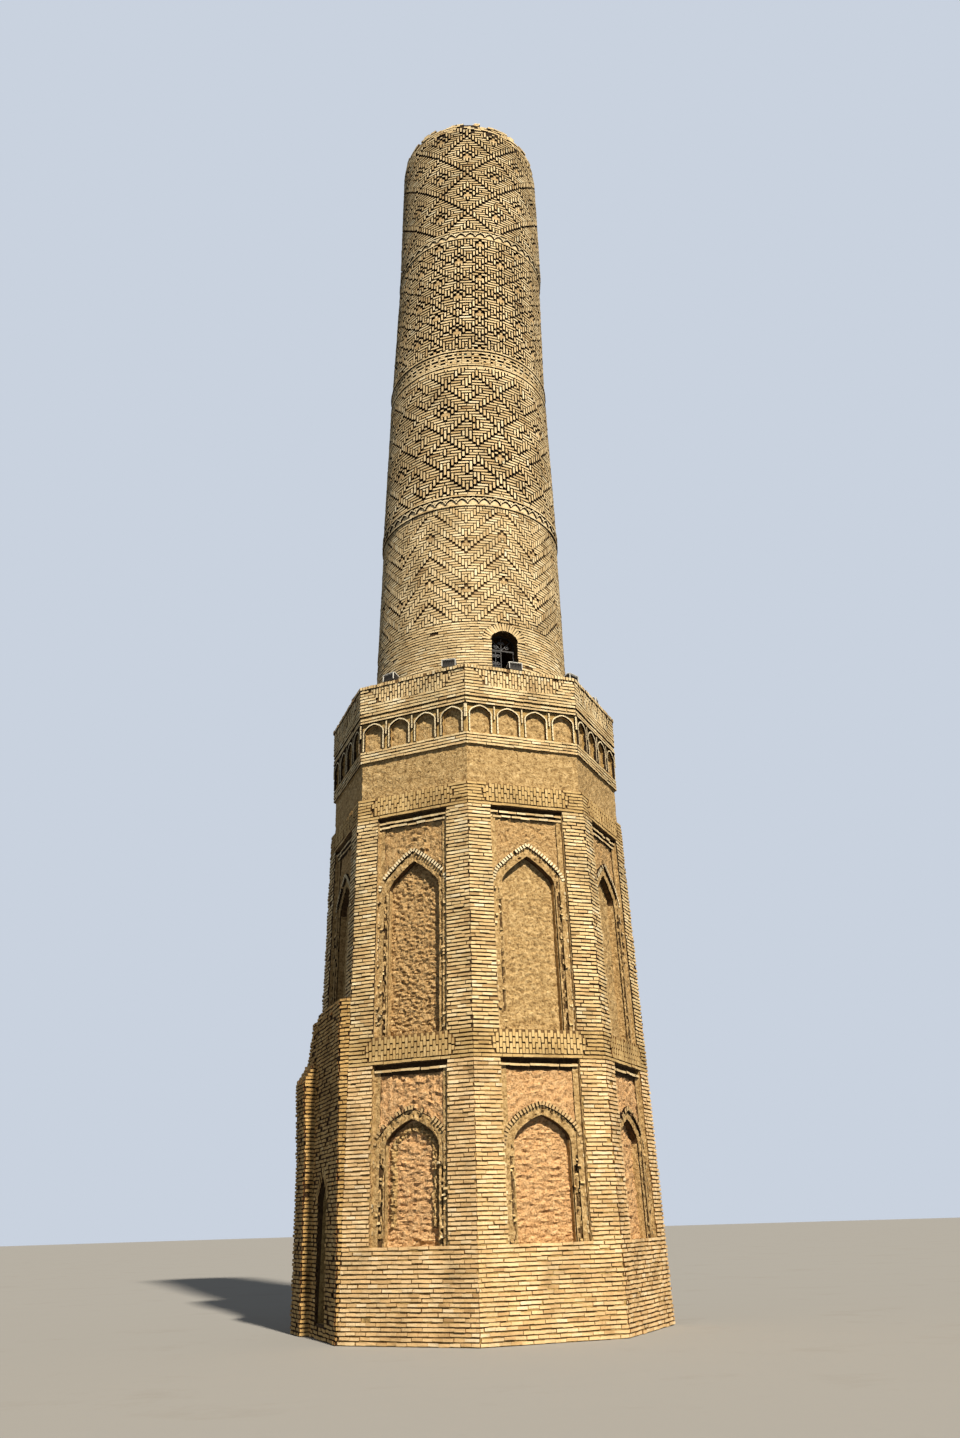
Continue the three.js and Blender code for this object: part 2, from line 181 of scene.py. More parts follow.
@dataclass(frozen=True)
class FiredBrick(Finish):
    """Hand-moulded brick, kiln fired: every brick has its own tone, with a gritty, weathered skin."""

    palette: tuple[str, ...] = ()
    low_tint: str = WHITE
    # Colours of the painted shade on a brick's sides, from its bed towards its arris.
    joint_shade: tuple[str, str] = ("241a10", "4c3a28")
    tint_height: float = 14.0
    grit: float = 0.012
    stain: float = 0.9

    def paint(self, tree: bpy.types.NodeTree, shader: bpy.types.Node) -> None:
        """Tones each brick from its attribute, then adds stains, grit, painted joint shade and bump.

        Args:
            tree: The material's node tree.
            shader: Its Principled shader.
        """
        # Kiln heat varies from brick to brick, so the eye sees cream, buff and tan bricks side by side.
        tone = add_node(tree, "ShaderNodeAttribute", attribute_name="tone")
        brick = add_node(tree, "ShaderNodeValToRGB", {"Fac": tone.outputs["Fac"]})
        set_ramp(brick, self.palette)
        place = add_node(tree, "ShaderNodeTexCoord").outputs["Object"]
        height = add_node(tree, "ShaderNodeSeparateXYZ", {"Vector": place}).outputs["Z"]
        share = add_node(tree, "ShaderNodeMapRange",
                         {"Value": height, "From Min": 0.0, "From Max": self.tint_height})
        tint = add_node(tree, "ShaderNodeValToRGB", {"Fac": share.outputs["Result"]})
        set_ramp(tint, (self.low_tint, WHITE))
        warm = add_node(tree, "ShaderNodeMix", {"Factor": 1.0, "A": brick.outputs["Color"],
                                                "B": tint.outputs["Color"]}, **MULTIPLY)
        # Dust and rain leave soft patches about a metre across.
        patches = add_node(tree, "ShaderNodeTexNoise", {"Vector": place, "Scale": 1 / self.stain,
                                                        "Detail": 6.0, "Roughness": 0.62})
        wash = add_node(tree, "ShaderNodeValToRGB", {"Fac": patches.outputs["Fac"]})
        set_ramp(wash, ("a39c90", "e2ded6", WHITE), (0.3, 0.48, 0.62))
        worn = add_node(tree, "ShaderNodeMix", {"Factor": 0.75, "A": warm.outputs[2],
                                                "B": wash.outputs["Color"]}, **MULTIPLY)
        # Sand grains and pits, drawn at 12 mm because real grit is too fine to show.
        grains = add_node(tree, "ShaderNodeTexNoise", {"Vector": place, "Scale": 1 / self.grit,
                                                       "Detail": 3.0, "Roughness": 0.7})
        speck = add_node(tree, "ShaderNodeValToRGB", {"Fac": grains.outputs["Fac"]})
        set_ramp(speck, ("8b8275", "efece6", WHITE), (0.3, 0.45, 0.6))
        skin = add_node(tree, "ShaderNodeMix", {"Factor": 0.8, "A": worn.outputs[2],
                                                "B": speck.outputs["Color"]}, **MULTIPLY)
        # Painted shade: a brick's sides darken from its arris to its bed, standing for the shade that falls
        # in the raked joints.
        depth = add_node(tree, "ShaderNodeAttribute", attribute_name="joint_shade_mask")
        joint_shade = add_node(tree, "ShaderNodeValToRGB", {"Fac": depth.outputs["Fac"]})
        set_ramp(joint_shade, (*self.joint_shade, WHITE), (0.4, 0.93, 1.0))
        joint_shaded = add_node(tree, "ShaderNodeMix", {"Factor": 1.0, "A": skin.outputs[2],
                                                 "B": joint_shade.outputs["Color"]}, **MULTIPLY)
        relief = add_node(tree, "ShaderNodeBump", {"Height": grains.outputs["Fac"], "Strength": 0.5,
                                                   "Distance": 0.006})
        tree.links.new(joint_shaded.outputs[2], shader.inputs["Base Color"])
        tree.links.new(relief.outputs["Normal"], shader.inputs["Normal"])
        shader.inputs["Roughness"].default_value = 0.92
        shader.inputs["Specular IOR Level"].default_value = 0.25


@dataclass(frozen=True)
class LimeCoat(Finish):
    """Lime, mud and straw, thrown and smeared by hand: lumpy and dusty, with dull and bright patches."""

    palette: tuple[str, ...] = ()
    lump: float = 0.16
    grain: float = 0.022
    bump: float = 0.012

    def paint(self, tree: bpy.types.NodeTree, shader: bpy.types.Node) -> None:
        """Mixes two sizes of noise to colour and bump.

        Args:
            tree: The material's node tree.
            shader: Its Principled shader.
        """
        place = add_node(tree, "ShaderNodeTexCoord").outputs["Object"]
        clods = add_node(tree, "ShaderNodeTexNoise", {"Vector": place, "Scale": 1 / self.lump, "Detail": 5.0,
                                                      "Roughness": 0.65, "Distortion": 0.6})
        coat = add_node(tree, "ShaderNodeValToRGB", {"Fac": clods.outputs["Fac"]})
        last = len(self.palette) - 1
        set_ramp(coat, self.palette, tuple(0.3 + 0.4 * i / last for i in range(last + 1)))
        # Chopped straw and sand, drawn at 14 to 55 mm because the real ones are too fine to show.
        straw = add_node(tree, "ShaderNodeTexNoise", {"Vector": place, "Scale": 1 / self.grain,
                                                      "Detail": 3.0, "Roughness": 0.75})
        fleck = add_node(tree, "ShaderNodeValToRGB", {"Fac": straw.outputs["Fac"]})
        set_ramp(fleck, ("7d6f5a", "ece5d8", WHITE), (0.34, 0.47, 0.6))
        skin = add_node(tree, "ShaderNodeMix", {"Factor": 0.85, "A": coat.outputs["Color"],
                                                "B": fleck.outputs["Color"]}, **MULTIPLY)
        rough = add_node(tree, "ShaderNodeMath", {0: clods.outputs["Fac"], 1: straw.outputs["Fac"]},
                         operation="ADD")
        relief = add_node(tree, "ShaderNodeBump", {"Height": rough.outputs[0], "Strength": 0.7,
                                                   "Distance": self.bump})
        tree.links.new(skin.outputs[2], shader.inputs["Base Color"])
        tree.links.new(relief.outputs["Normal"], shader.inputs["Normal"])
        shader.inputs["Roughness"].default_value = 0.95
        shader.inputs["Specular IOR Level"].default_value = 0.2


@dataclass(frozen=True)
class MetalPaint(Finish):
    """Paint, glass or glaze: an even coat with dust in its hollows and a few rubbed or rusted patches."""

    coat: str
    worn: str
    roughness: float
    patch: float
    metallic: float = 0.0

    def paint(self, tree: bpy.types.NodeTree, shader: bpy.types.Node) -> None:
        """Mixes the worn colour in through a noise mask.

        Args:
            tree: The material's node tree.
            shader: Its Principled shader.
        """
        place = add_node(tree, "ShaderNodeTexCoord").outputs["Object"]
        marks = add_node(tree, "ShaderNodeTexNoise", {"Vector": place, "Scale": 1 / self.patch,
                                                      "Detail": 6.0, "Roughness": 0.7})
        skin = add_node(tree, "ShaderNodeValToRGB", {"Fac": marks.outputs["Fac"]})
        set_ramp(skin, (self.coat, self.coat, self.worn), (0.0, 0.56, 0.72))
        shine = add_node(tree, "ShaderNodeMapRange", {"Value": marks.outputs["Fac"], "To Min": self.roughness,
                                                      "To Max": self.roughness + 0.3})
        tree.links.new(skin.outputs["Color"], shader.inputs["Base Color"])
        tree.links.new(shine.outputs["Result"], shader.inputs["Roughness"])
        shader.inputs["Metallic"].default_value = self.metallic


# Buff brick of the upper piers and the gallery: hand moulded and kiln fired, a little warmer low down.
BUFF_BRICK = FiredBrick("fired_buff_brick", ("b4986c", "d8ba8a", "e7cc9a", "f0dbae", "faecca"), "fff4e2")
# Ochre brick of the lower tier: rain has washed its joints paler, and its bricks' sides get a lighter painted
# shade, so the courses read softer there.
OCHRE_BRICK = FiredBrick("fired_ochre_brick", ("caab7d", "e6c795", "f0d3a4", "f6dfb4", "fbeac9"), "fff6ea",
                         ("5a432a", "9a7c54"))
# Tan brick of the bands, with joints rubbed nearly full and a lighter painted shade on the bricks' sides, so
# a band reads smoother than the piers.
TAN_BRICK = FiredBrick("fired_tan_brick", ("a88a5a", "c2a26c", "cfb078", "d9bc86", "e6cc9a"), WHITE,
                       ("5a432a", "9a7c54"))
# Amber brick of the facing, fired from redder clay, so it reads a shade warmer than the piers; the painted
# shade on its sides is warmer and lighter too.
AMBER_BRICK = FiredBrick("fired_amber_brick", ("a5834e", "c39c60", "d2ab6c", "dcb87a", "e8c88e"), WHITE,
                         ("3c2a18", "7a5c3a"))
# Pale brick of the patterned shaft: hand moulded and lightly fired, cream where the sun has bleached it.
PALE_BRICK = FiredBrick("fired_pale_brick", ("ac8f66", "d6b988", "e8cfa0", "f2dcb0", "fdf0cd"))
# Joints are raked deep and hold soot and shade, so the mortar behind the bricks reads dark.
RAKED_MORTAR = LimeCoat("raked_lime_mortar", ("3a2b1b", "55412a", "705836"), 0.09, 0.02)
DEEP_MORTAR = LimeCoat("deep_raked_mortar", ("1e160e", "2e2216", "443521"), 0.09, 0.02)
# Pointed joints are filled nearly flush, so the mortar reads a mid brown.
POINTED_MORTAR = LimeCoat("pointed_lime_mortar", ("55412a", "745b3b", "8f754e"), 0.09, 0.02)
# Flush joints are struck off level with the bricks, so the mortar reads as pale and dusty as they do.
FLUSH_MORTAR = LimeCoat("flush_lime_mortar", ("8d7248", "b3965f", "cdb07a"), 0.12, 0.025, 0.02)
# Lime with chopped straw, thrown on and left rough, so the eye sees straw-coloured flecks two fingers wide.
STRAW_PLASTER = LimeCoat("lime_and_straw_plaster", ("8c7047", "b99c6c", "d9bd8c"), 0.13, 0.055, 0.05)
# Mud plaster smeared on in handfuls, so it reads as soft brown lumps with a dull skin.
NICHE_PLASTER = LimeCoat("hand_smeared_mud_plaster", ("a07f52", "c4a271", "d6b785"), 0.1, 0.05, 0.09)
# The same work in redder mud, which reads rosy beside the bricks of the lower tier.
ROSY_PLASTER = LimeCoat("hand_smeared_red_mud_plaster", ("b48a5e", "d9af7e", "e6c293"), 0.12, 0.045, 0.08)
# Fine lime stucco, carved while damp, so the lobes read paler and smoother than any brick.
PALE_STUCCO = LimeCoat("carved_stucco", ("d2b78a", "ecd6aa", "f8e9c6"), 0.08, 0.014, 0.006)
# Forged bar under brushed black paint, with brown rust where it is rubbed.
BLACK_IRON = MetalPaint("black_painted_wrought_iron", "1c1c1d", "4a3324", 0.45, 0.07)
# The same paint grey with dust, which makes the scrolls stand out from the shade behind them.
DUSTY_IRON = MetalPaint("dusty_painted_wrought_iron", "77777a", "9a958c", 0.5, 0.05)
# Cast housings under dull brown paint, a little paler where dust lies.
LAMP_PAINT = MetalPaint("brown_painted_cast_aluminium", "17120e", "453c2f", 0.6, 0.12)
# Bare cast rims, whitish and dull under their dust.
LAMP_RIM = MetalPaint("dusty_cast_aluminium", "c9c8c0", "9a958a", 0.5, 0.1, 0.1)
# Tempered glass over a dark lamp, so it reads slate grey with a sharp shine.
LAMP_GLASS = MetalPaint("tempered_lamp_glass", "39454c", "6d6f6a", 0.08, 0.2)
# Alkaline glaze, brushed on and fired a second time: blue-green and glassy, and greyer where it is worn.
GLAZED_TILE = MetalPaint("turquoise_glazed_tile", "3f929a", "7fb0a8", 0.2, 0.05)
# Matt floor paint, rolled on, with faint patches of dust.
STUDIO_FLOOR = MetalPaint("pale_studio_floor", "8f8d89", "8a8782", 0.8, 3.0)

# Finishes of the solids that show, by the start of a node's name: the first that fits is taken.
NODE_FINISHES = {
    "floodlight": LAMP_PAINT,
    "door": BLACK_IRON,
    "shaft_foot": RAKED_MORTAR,
    "shaft_zone_4": RAKED_MORTAR,
    "shaft": DEEP_MORTAR,
    "plaster_collar": STRAW_PLASTER,
    "middle_band": POINTED_MORTAR,
    "top_band": POINTED_MORTAR,
    "parapet": POINTED_MORTAR,
    "coping": POINTED_MORTAR,
    "plinth": FLUSH_MORTAR,
    "lower_tier": FLUSH_MORTAR,
    "gallery_base": FLUSH_MORTAR,
    "": RAKED_MORTAR,
}


def as_mesh(name: str, shape: bmesh.types.BMesh) -> bpy.types.Mesh:
    """Turns a bmesh to a mesh and frees it.

    Args:
        name: The mesh's name.
        shape: The bmesh.

    Returns:
        The mesh.
    """
    mesh = bpy.data.meshes.new(name)
    shape.to_mesh(mesh)
    shape.free()
    return mesh


def add_object(name: str, data: bpy.types.ID) -> bpy.types.Object:
    """Adds an object to the scene.

    Args:
        name: Its name.
        data: Its mesh, curve, light or camera.

    Returns:
        The object.
    """
    made = bpy.data.objects.new(name, data)
    bpy.context.scene.collection.objects.link(made)
    return made


def add_piece(name: str, mesh: bpy.types.Mesh, finish: Finish, slot: str) -> None:
    """Makes a piece of a mesh, with its finish, rides it on the minaret's body and reports it.

    Args:
        name: The piece's name.
        mesh: Its mesh, in the minaret's frame.
        finish: Its finish.
        slot: Not used.
    """
    mesh.materials.append(finish.material())
    piece = add_object(name, mesh)
    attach(piece, BODY)
    LOG.info("%s: %d faces", name, len(mesh.polygons))


class Wall:
    """A surface to lay on, reached by a distance along it and a height."""

    def point(self, along: Point, height: Point, out: Point) -> Point:
        """Gives points on the wall or off it.

        Args:
            along: Distances along the wall, positive to the right seen from outside.
            height: Heights over the ground.
            out: Distances out of the wall.

        Returns:
            The points, one row each.
        """
        raise NotImplementedError

    def spot(self, along: float, height: float, out: float = 0.0) -> Point:
        """Gives one point on the wall or off it, as point says."""
        return self.point(np.array([along]), np.array([height]), np.array([out]))[0]

    def ways(self, along: Point, height: Point) -> tuple[Point, Point, Point, Point, Point]:
        """Gives points on the wall with its directions there.

        Args:
            along: Distances along the wall.
            height: Heights over the ground.

        Returns:
            The points, the directions right, up and out, and how far a metre along reaches.
        """
        step = 1e-3
        flush = np.zeros(len(along))
        left, right = (self.point(along + way, height, flush) for way in (-step, step))
        low, high = (self.point(along, height + way, flush) for way in (-step, step))
        right, up = (right - left) / (2 * step), (high - low) / (2 * step)
        reach = np.linalg.norm(right, axis=1)
        right = right / reach[:, None]
        away = np.cross(right, up)
        away /= np.linalg.norm(away, axis=1)[:, None]
        return self.point(along, height, flush), right, np.cross(away, right), away, reach


@dataclass(frozen=True)
class FlatWall(Wall):
    """A flat wall, plumb or battered, by the way that it faces and how far out it stands at the ground."""

    turn: float
    reach: float
    draw: float = 0.0

    def point(self, along: Point, height: Point, out: Point) -> Point:
        """Gives points on the wall, as Wall.point says.

        Args:
            along: Distances along it.
            height: Heights over the ground.
            out: Distances out of it.

        Returns:
            The points, one row each.
        """
        angle = math.radians(self.turn)
        away = np.array([math.cos(angle), math.sin(angle)])
        side = np.array([-away[1], away[0]])
        reach = self.reach - self.draw * height + out
        flat = away[None, :] * reach[:, None] + side[None, :] * along[:, None]
        return np.column_stack([flat, height])

    def half_width(self, height: float) -> float:
        """Half the width at a height, as a side of an octagon."""
        return (self.reach - self.draw * height) * HALF_SIDE


def octagon_side(face: int, radius: float, draw: float = 0.0) -> FlatWall:
    """Gives one side of an octagon.

    Args:
        face: The side's number, 0 for the gallery door's.
        radius: The octagon's circumradius at the ground.
        draw: How far that draws in for each metre up.

    Returns:
        The wall.
    """
    return FlatWall(-90 + 45 * face, radius * FLAT, draw * FLAT)


# The way that the shaft leans, seen from above.
LEAN = np.array([0.937, -0.349])


@dataclass(frozen=True)
class RoundWall(Wall):
    """A stretch of the round shaft, with its own taper and its own lean."""

    z0: float
    z1: float
    r0: float
    r1: float
    o0: float
    o1: float

    @property
    def middle(self) -> float:
        """Radius that distances along the wall are measured at."""
        return (self.r0 + self.r1) / 2

    @property
    def girth(self) -> float:
        """Distance once round the wall."""
        return 2 * math.pi * self.middle

    def point(self, along: Point, height: Point, out: Point) -> Point:
        """Gives points on the shaft, as Wall.point says.

        Args:
            along: Distances along it.
            height: Heights over the ground.
            out: Distances out of it.

        Returns:
            The points, one row each.
        """
        share = (height - self.z0) / (self.z1 - self.z0)
        # The solid has 48 flat sides, so its mean radius is a little under the one at its corners.
        radius = (self.r0 + (self.r1 - self.r0) * share) * 0.9985 + out
        offset = self.o0 + (self.o1 - self.o0) * share
        angle = along / self.middle
        x = radius * np.sin(angle) + offset * LEAN[0]
        y = -radius * np.cos(angle) + offset * LEAN[1]
        return np.column_stack([x, y, height])


# Stretches of the shaft, as in the solids: heights, radii and how far the middle is off, low and high.
SHAFT = {
    "shaft_foot": RoundWall(14.10, 16.83, 2.705, 2.640, -0.035, 0.0),
    "shaft_zone_4": RoundWall(16.83, 20.54, 2.640, 2.560, 0.0, 0.063),
    "shaft_band_3": RoundWall(20.54, 20.91, 2.570, 2.570, 0.063, 0.069),
    "shaft_zone_3": RoundWall(20.91, 25.58, 2.540, 2.400, 0.069, 0.135),
    "shaft_band_2": RoundWall(25.58, 26.28, 2.400, 2.400, 0.135, 0.143),
    "shaft_zone_2": RoundWall(26.28, 30.87, 2.370, 2.275, 0.143, 0.300),
    "shaft_band_1": RoundWall(30.87, 31.23, 2.310, 2.310, 0.300, 0.335),
    "shaft_zone_1": RoundWall(31.23, 36.00, 2.305, 2.235, 0.335, 0.400),
}


def brick_shape() -> tuple[np.ndarray, np.ndarray]:
    """Models one brick of unit size, its face a little smaller than its back.

    Returns:
        Its corners, and its faces as numbers of corners.
    """
    mesh = bmesh.new()
    made = bmesh.ops.create_cube(mesh, size=1.0)
    front = [v for v in made["verts"] if v.co.y < 0]
    bmesh.ops.scale(mesh, vec=(0.99, 1.0, 0.93), verts=front)
    mesh.verts.index_update()
    corners = np.array([v.co[:] for v in mesh.verts])
    faces = np.array([[v.index for v in f.verts] for f in mesh.faces])
    mesh.free()
    return corners, faces


BRICK_CORNERS, BRICK_FACES = brick_shape()


@dataclass
class Brickwork:
    """Bricks laid one by one on walls, and joined as one piece."""

    name: str
    finish: Finish
    slot: str
    seed: int
    loose: float = 0.005
    variety: float = 0.17
    # How far the bricks' tops are spared the painted joint shade, from 0, not at all, to 1, wholly.
    unshaded_top: float = 0.0
    laid: dict[Wall, list[tuple[float, ...]]] = field(default_factory=dict)

    def __post_init__(self) -> None:
        """Starts the piece's own run of chance."""
        self.chance = np.random.default_rng(self.seed)

    def lay(self, wall: Wall, along: float, height: float, long: float, tall: float, proud: float = PROUD,
            bed: float = 0.0, turn: float = 0.0, tone: float | None = None, wobble: float = 1.0) -> None:
        """Lays one brick.

        Args:
            wall: The wall that carries it.
            along: Its middle's distance along the wall.
            height: Its middle's height.
            long: Its length along the wall.
            tall: Its height.
            proud: How far its face stands out of the wall.
            bed: Level of the surface that it is bedded in.
            turn: Its turn in the wall's plane, anticlockwise.
            tone: Its tone from 0, dark, to 1, pale, or None for chance.
            wobble: Share of the usual looseness.
        """
        if tone is None:
            tone = float(np.clip(self.chance.normal(0.55, self.variety), 0.0, 1.0))
        brick = (along, height, long, tall, proud, bed - EMBED, turn, tone, wobble)
        self.laid.setdefault(wall, []).append(brick)

    def course(self, wall: Wall, height: float, start: float, end: float, shift: float = 0.0,
               missing: float = 0.0, tall: float = BRICK_TALL, **brick: float) -> None:
        """Lays a course of stretchers between two ends, cut to fit at both.

        Args:
            wall: The wall that carries it.
            height: The course's middle height.
            start: Where it starts along the wall.
            end: Where it ends.
            shift: How far its joints are shifted.
            missing: Chance that a brick is missing.
            tall: A brick's height.
            brick: What else lay takes.
        """
        pitch = BRICK_LONG + HEAD_JOINT
        for i in range(math.floor((start - shift) / pitch), math.ceil((end - shift) / pitch)):
            left = max(start, shift + i * pitch)
            right = min(end, shift + (i + 1) * pitch - HEAD_JOINT)
            if right - left >= SHORTEST and self.chance.random() >= missing:
                self.lay(wall, (left + right) / 2, height, right - left, tall, **brick)

    def open_course(self, wall: Wall, height: float, ends: tuple[float, float], gap: float, shift: float,
                    missing: float, **brick: float) -> None:
        """Lays a course that stops on both sides of an opening, or runs through where there is none.

        Args:
            wall: The wall that carries it.
            height: The course's middle height.
            ends: Where it starts and ends along the wall.
            gap: Half the opening's width, or 0.
            shift: How far its joints are shifted.
            missing: Chance that a brick is missing.
            brick: What else course takes.
        """
        for start, end in ((ends[0], -gap), (gap, ends[1])) if gap else (ends,):
            self.course(wall, height, start, end, shift, missing, **brick)

    def build(self) -> None:
        """Joins the laid bricks as one mesh of closed bricks."""
        corners, tones, fronts = [], [], []
        # Painted shade darkens a brick's sides and back, standing for the shade in its joints; the front is
        # spared it, and so is the top where nothing covers it.
        unshaded = np.where(BRICK_CORNERS[:, 1] < 0, 1.0, np.where(BRICK_CORNERS[:, 2] > 0, self.unshaded_top, 0.0))
        for wall, rows in self.laid.items():
            along, height, long, tall, proud, back, turn, shade, wobble = np.array(rows).T
            count = len(rows)
            sway = self.chance.normal(0.0, self.loose, (count, 3)) * wobble[:, None]
            here, right, up, away, reach = wall.ways(along + sway[:, 0], height + 0.5 * sway[:, 1])
            turn = turn + self.chance.normal(0.0, 0.006, count) * wobble
            cos, sin = np.cos(turn)[:, None], np.sin(turn)[:, None]
            right, up = right * cos + up * sin, up * cos - right * sin
            front = proud + sway[:, 2]
            size = np.column_stack([long * reach, front - back, tall])
            local = BRICK_CORNERS[None, :, :] * size[:, None, :]
            local[:, :, 1] -= ((front + back) / 2)[:, None]
            local += self.chance.uniform(-1, 1, local.shape) * 0.6 * self.loose * wobble[:, None, None]
            world = here[:, None, :] + local[:, :, 0:1] * right[:, None, :]
            world -= local[:, :, 1:2] * away[:, None, :]
            world += local[:, :, 2:3] * up[:, None, :]
            corners.append(world.reshape(-1, 3))
            tones.append(np.repeat(shade, len(BRICK_CORNERS)))
            fronts.append(np.tile(unshaded, count))
        points = np.concatenate(corners)
        count = len(points) // len(BRICK_CORNERS)
        firsts = np.arange(count)[:, None, None] * len(BRICK_CORNERS)
        mesh = bpy.data.meshes.new(self.name)
        mesh.from_pydata(points.tolist(), [], (BRICK_FACES[None, :, :] + firsts).reshape(-1, 4).tolist())
        for key, parts in (("tone", tones), ("joint_shade_mask", fronts)):
            values = np.concatenate(parts).astype(np.float32)
            mesh.attributes.new(key, "FLOAT", "POINT").data.foreach_set("value", values)
        mesh.update()
        add_piece(self.name, mesh, self.finish, self.slot)


def lengths(curve: Point) -> Point:
    """Distances along a curve to each of its points."""
    return np.concatenate([[0.0], np.cumsum(np.linalg.norm(np.diff(curve, axis=0), axis=1))])


@dataclass(frozen=True)
class PointedArch:
    """A four-centred arch: tight haunches at the springing, then a flatter curve to the apex."""

    half: float
    spring: float
    apex: float

    def right_half(self) -> Point:
        """Traces the arch from its right springing to its apex.

        Returns:
            Distances along the wall and heights, one row each.
        """
        rise = self.apex - self.spring
        tight = 0.62 * self.half * min(1.0, rise / (0.9 * self.half))
        turn = math.radians(45)
        share = np.linspace(0.0, 1.0, ARCH_STEPS + 1)[:, None]
        centre = self.half - tight
        haunch = np.hstack([centre + tight * np.cos(turn * share), tight * np.sin(turn * share)])
        climb = np.array([0.0, rise]) - haunch[-1]
        lean = math.atan2(climb[1], -climb[0])
        sag = np.linalg.norm(climb) / 2 * math.tan((math.pi / 2 - turn - lean) / 2)
        share = share[1:]
        bulge = 4 * sag * share * (1 - share) * np.array([math.sin(lean), math.cos(lean)])
        half = np.concatenate([haunch, haunch[-1] + climb * share + bulge]) + np.array([0.0, self.spring])
        half[-1] = (0.0, self.apex)
        return half

    @lru_cache(maxsize=None)
    def offset(self, distance: float) -> Point:
        """Traces a curve at a distance outside the arch, mitred at the apex.

        Args:
            distance: How far outside.

        Returns:
            Distances along the wall and heights, from the right springing over the apex to the left one.
        """
        half = self.right_half()
        way = np.gradient(half, axis=0)
        way[-1] = half[-1] - half[-2]
        way /= np.linalg.norm(way, axis=1)[:, None]
        normal = np.column_stack([way[:, 1], -way[:, 0]])
        moved = half + normal * distance
        moved[-1] = (0.0, self.apex + distance / normal[-1, 1])
        left = moved[:-1][::-1] * np.array([-1.0, 1.0])
        return np.concatenate([moved, left])

    def height(self, along: float, distance: float) -> float:
        """Height of a curve outside the arch over a point of the wall.

        Args:
            along: Distance along the wall.
            distance: How far outside the arch.

        Returns:
            The height.
        """
        half = self.offset(distance)[:APEX + 1][::-1]
        return float(np.interp(abs(along), half[:, 0], half[:, 1]))

    def gap(self, z: float, sill: float, ring: float, clear: float = 0.0) -> float:
        """Half the width that a doorway and the ring of bricks over it take at a height.

        Args:
            z: The height.
            sill: Where the doorway starts.
            ring: The ring's width.
            clear: Space beside the jambs.

        Returns:
            The half width, or 0 where there is no opening.
        """
        if z < sill:
            return 0.0
        if z < self.spring:
            return self.half + clear
        outer = self.offset(ring)[:APEX + 1]
        return float(np.interp(z, outer[:, 1], outer[:, 0], right=0.0))


class ArchPath:
    """A path up the right jamb of an arch, round it and down the left jamb."""

    def __init__(self, arch: PointedArch, low: float, out: float) -> None:
        """Measures the path.

        Args:
            arch: The arch.
            low: Height of the path's two ends.
            out: Distance outside the arch that its length is measured at.
        """
        self.arch = arch
        self.low = low
        self.rise = arch.spring - low
        self.steps = lengths(arch.offset(out))
        self.total = 2 * self.rise + self.steps[-1]

    def place(self, run: float, jamb: float, ring: float) -> tuple[float, float]:
        """Finds a place beside the path.

        Args:
            run: Distance along the path.
            jamb: Distance outside the opening, where the path runs up or down.
            ring: Distance outside it, where the path runs round the arch.

        Returns:
            Distance along the wall, and height.
        """
        if not self.rise <= run <= self.total - self.rise:
            side = 1 if run < self.rise else -1
            return side * (self.arch.half + jamb), self.low + min(run, self.total - run)
        curve = self.arch.offset(round(ring, 6))
        index = np.interp(run - self.rise, self.steps, np.arange(len(self.steps)))
        along, z = (float(np.interp(index, np.arange(len(curve)), curve[:, k])) for k in (0, 1))
        return along, z


def arch_ring(work: Brickwork, wall: Wall, arch: PointedArch, edges: tuple[float, float], pitch: float,
              joint: float, proud: float, bed: float = 0.0, reach: float = math.inf, centre: float = 0.0,
              missing: float = 0.0, tone: float | None = None) -> None:
    """Lays a ring of bricks, standing square to an arch.

    Args:
        work: The brickwork they join.
        wall: The wall that carries the arch.
        arch: The arch.
        edges: Distances from the arch to the ring's inner and outer edge.
        pitch: Distance from brick to brick.
        joint: Width of a joint.
        proud: How far the faces stand out of the wall.
        bed: Level of the surface behind.
        reach: Farthest distance from the arch's middle that a brick is laid.
        centre: Where the arch's middle is along the wall.
        missing: Chance that a brick is missing.
        tone: Tone of every brick, or None for chance.
    """
    inner, outer = edges
    near = 0.01
    curve = arch.offset((inner + outer) / 2)
    for half in (curve[:APEX + 1], curve[APEX:]):
        run = lengths(half)
        count = max(1, round(run[-1] / pitch))
        for i in range(count):
            s = (i + 0.5) * run[-1] / count
            x, z = (np.interp(s, run, half[:, k]) for k in (0, 1))
            (x0, z0), (x1, z1) = ([np.interp(s + d, run, half[:, k]) for k in (0, 1)] for d in (-near, near))
            turn = math.atan2(z1 - z0, x1 - x0) + math.pi
            if abs(x) <= reach and work.chance.random() >= missing:
                work.lay(wall, centre + x, z, run[-1] / count - joint, outer - inner, proud, bed, turn, tone)


def sheet_piece(name: str, finish: Finish, coats: list[Coat], thickness: float) -> None:
    """Models coats of plaster, each a grid bent to its place and given a back, as one piece.

    Args:
        name: The piece's name.
        finish: Its finish.
        coats: The coats.
        thickness: How thick a coat is.
    """
    mesh = bmesh.new()
    for place, columns, rows in coats:
        made = bmesh.ops.create_grid(mesh, x_segments=columns, y_segments=rows, size=0.5)
        for vertex in made["verts"]:
            vertex.co = place(vertex.co.x + 0.5, vertex.co.y + 0.5)
        faces = list({f for v in made["verts"] for f in v.link_faces})
        bmesh.ops.remove_doubles(mesh, verts=made["verts"], dist=1e-5)
        bmesh.ops.solidify(mesh, geom=faces, thickness=thickness)
    bmesh.ops.recalc_face_normals(mesh, faces=mesh.faces)
    data = as_mesh(name, mesh)
    for polygon in data.polygons:
        polygon.use_smooth = True
    data.set_sharp_from_angle(angle=math.radians(38))
    add_piece(name, data, finish, "plaster")


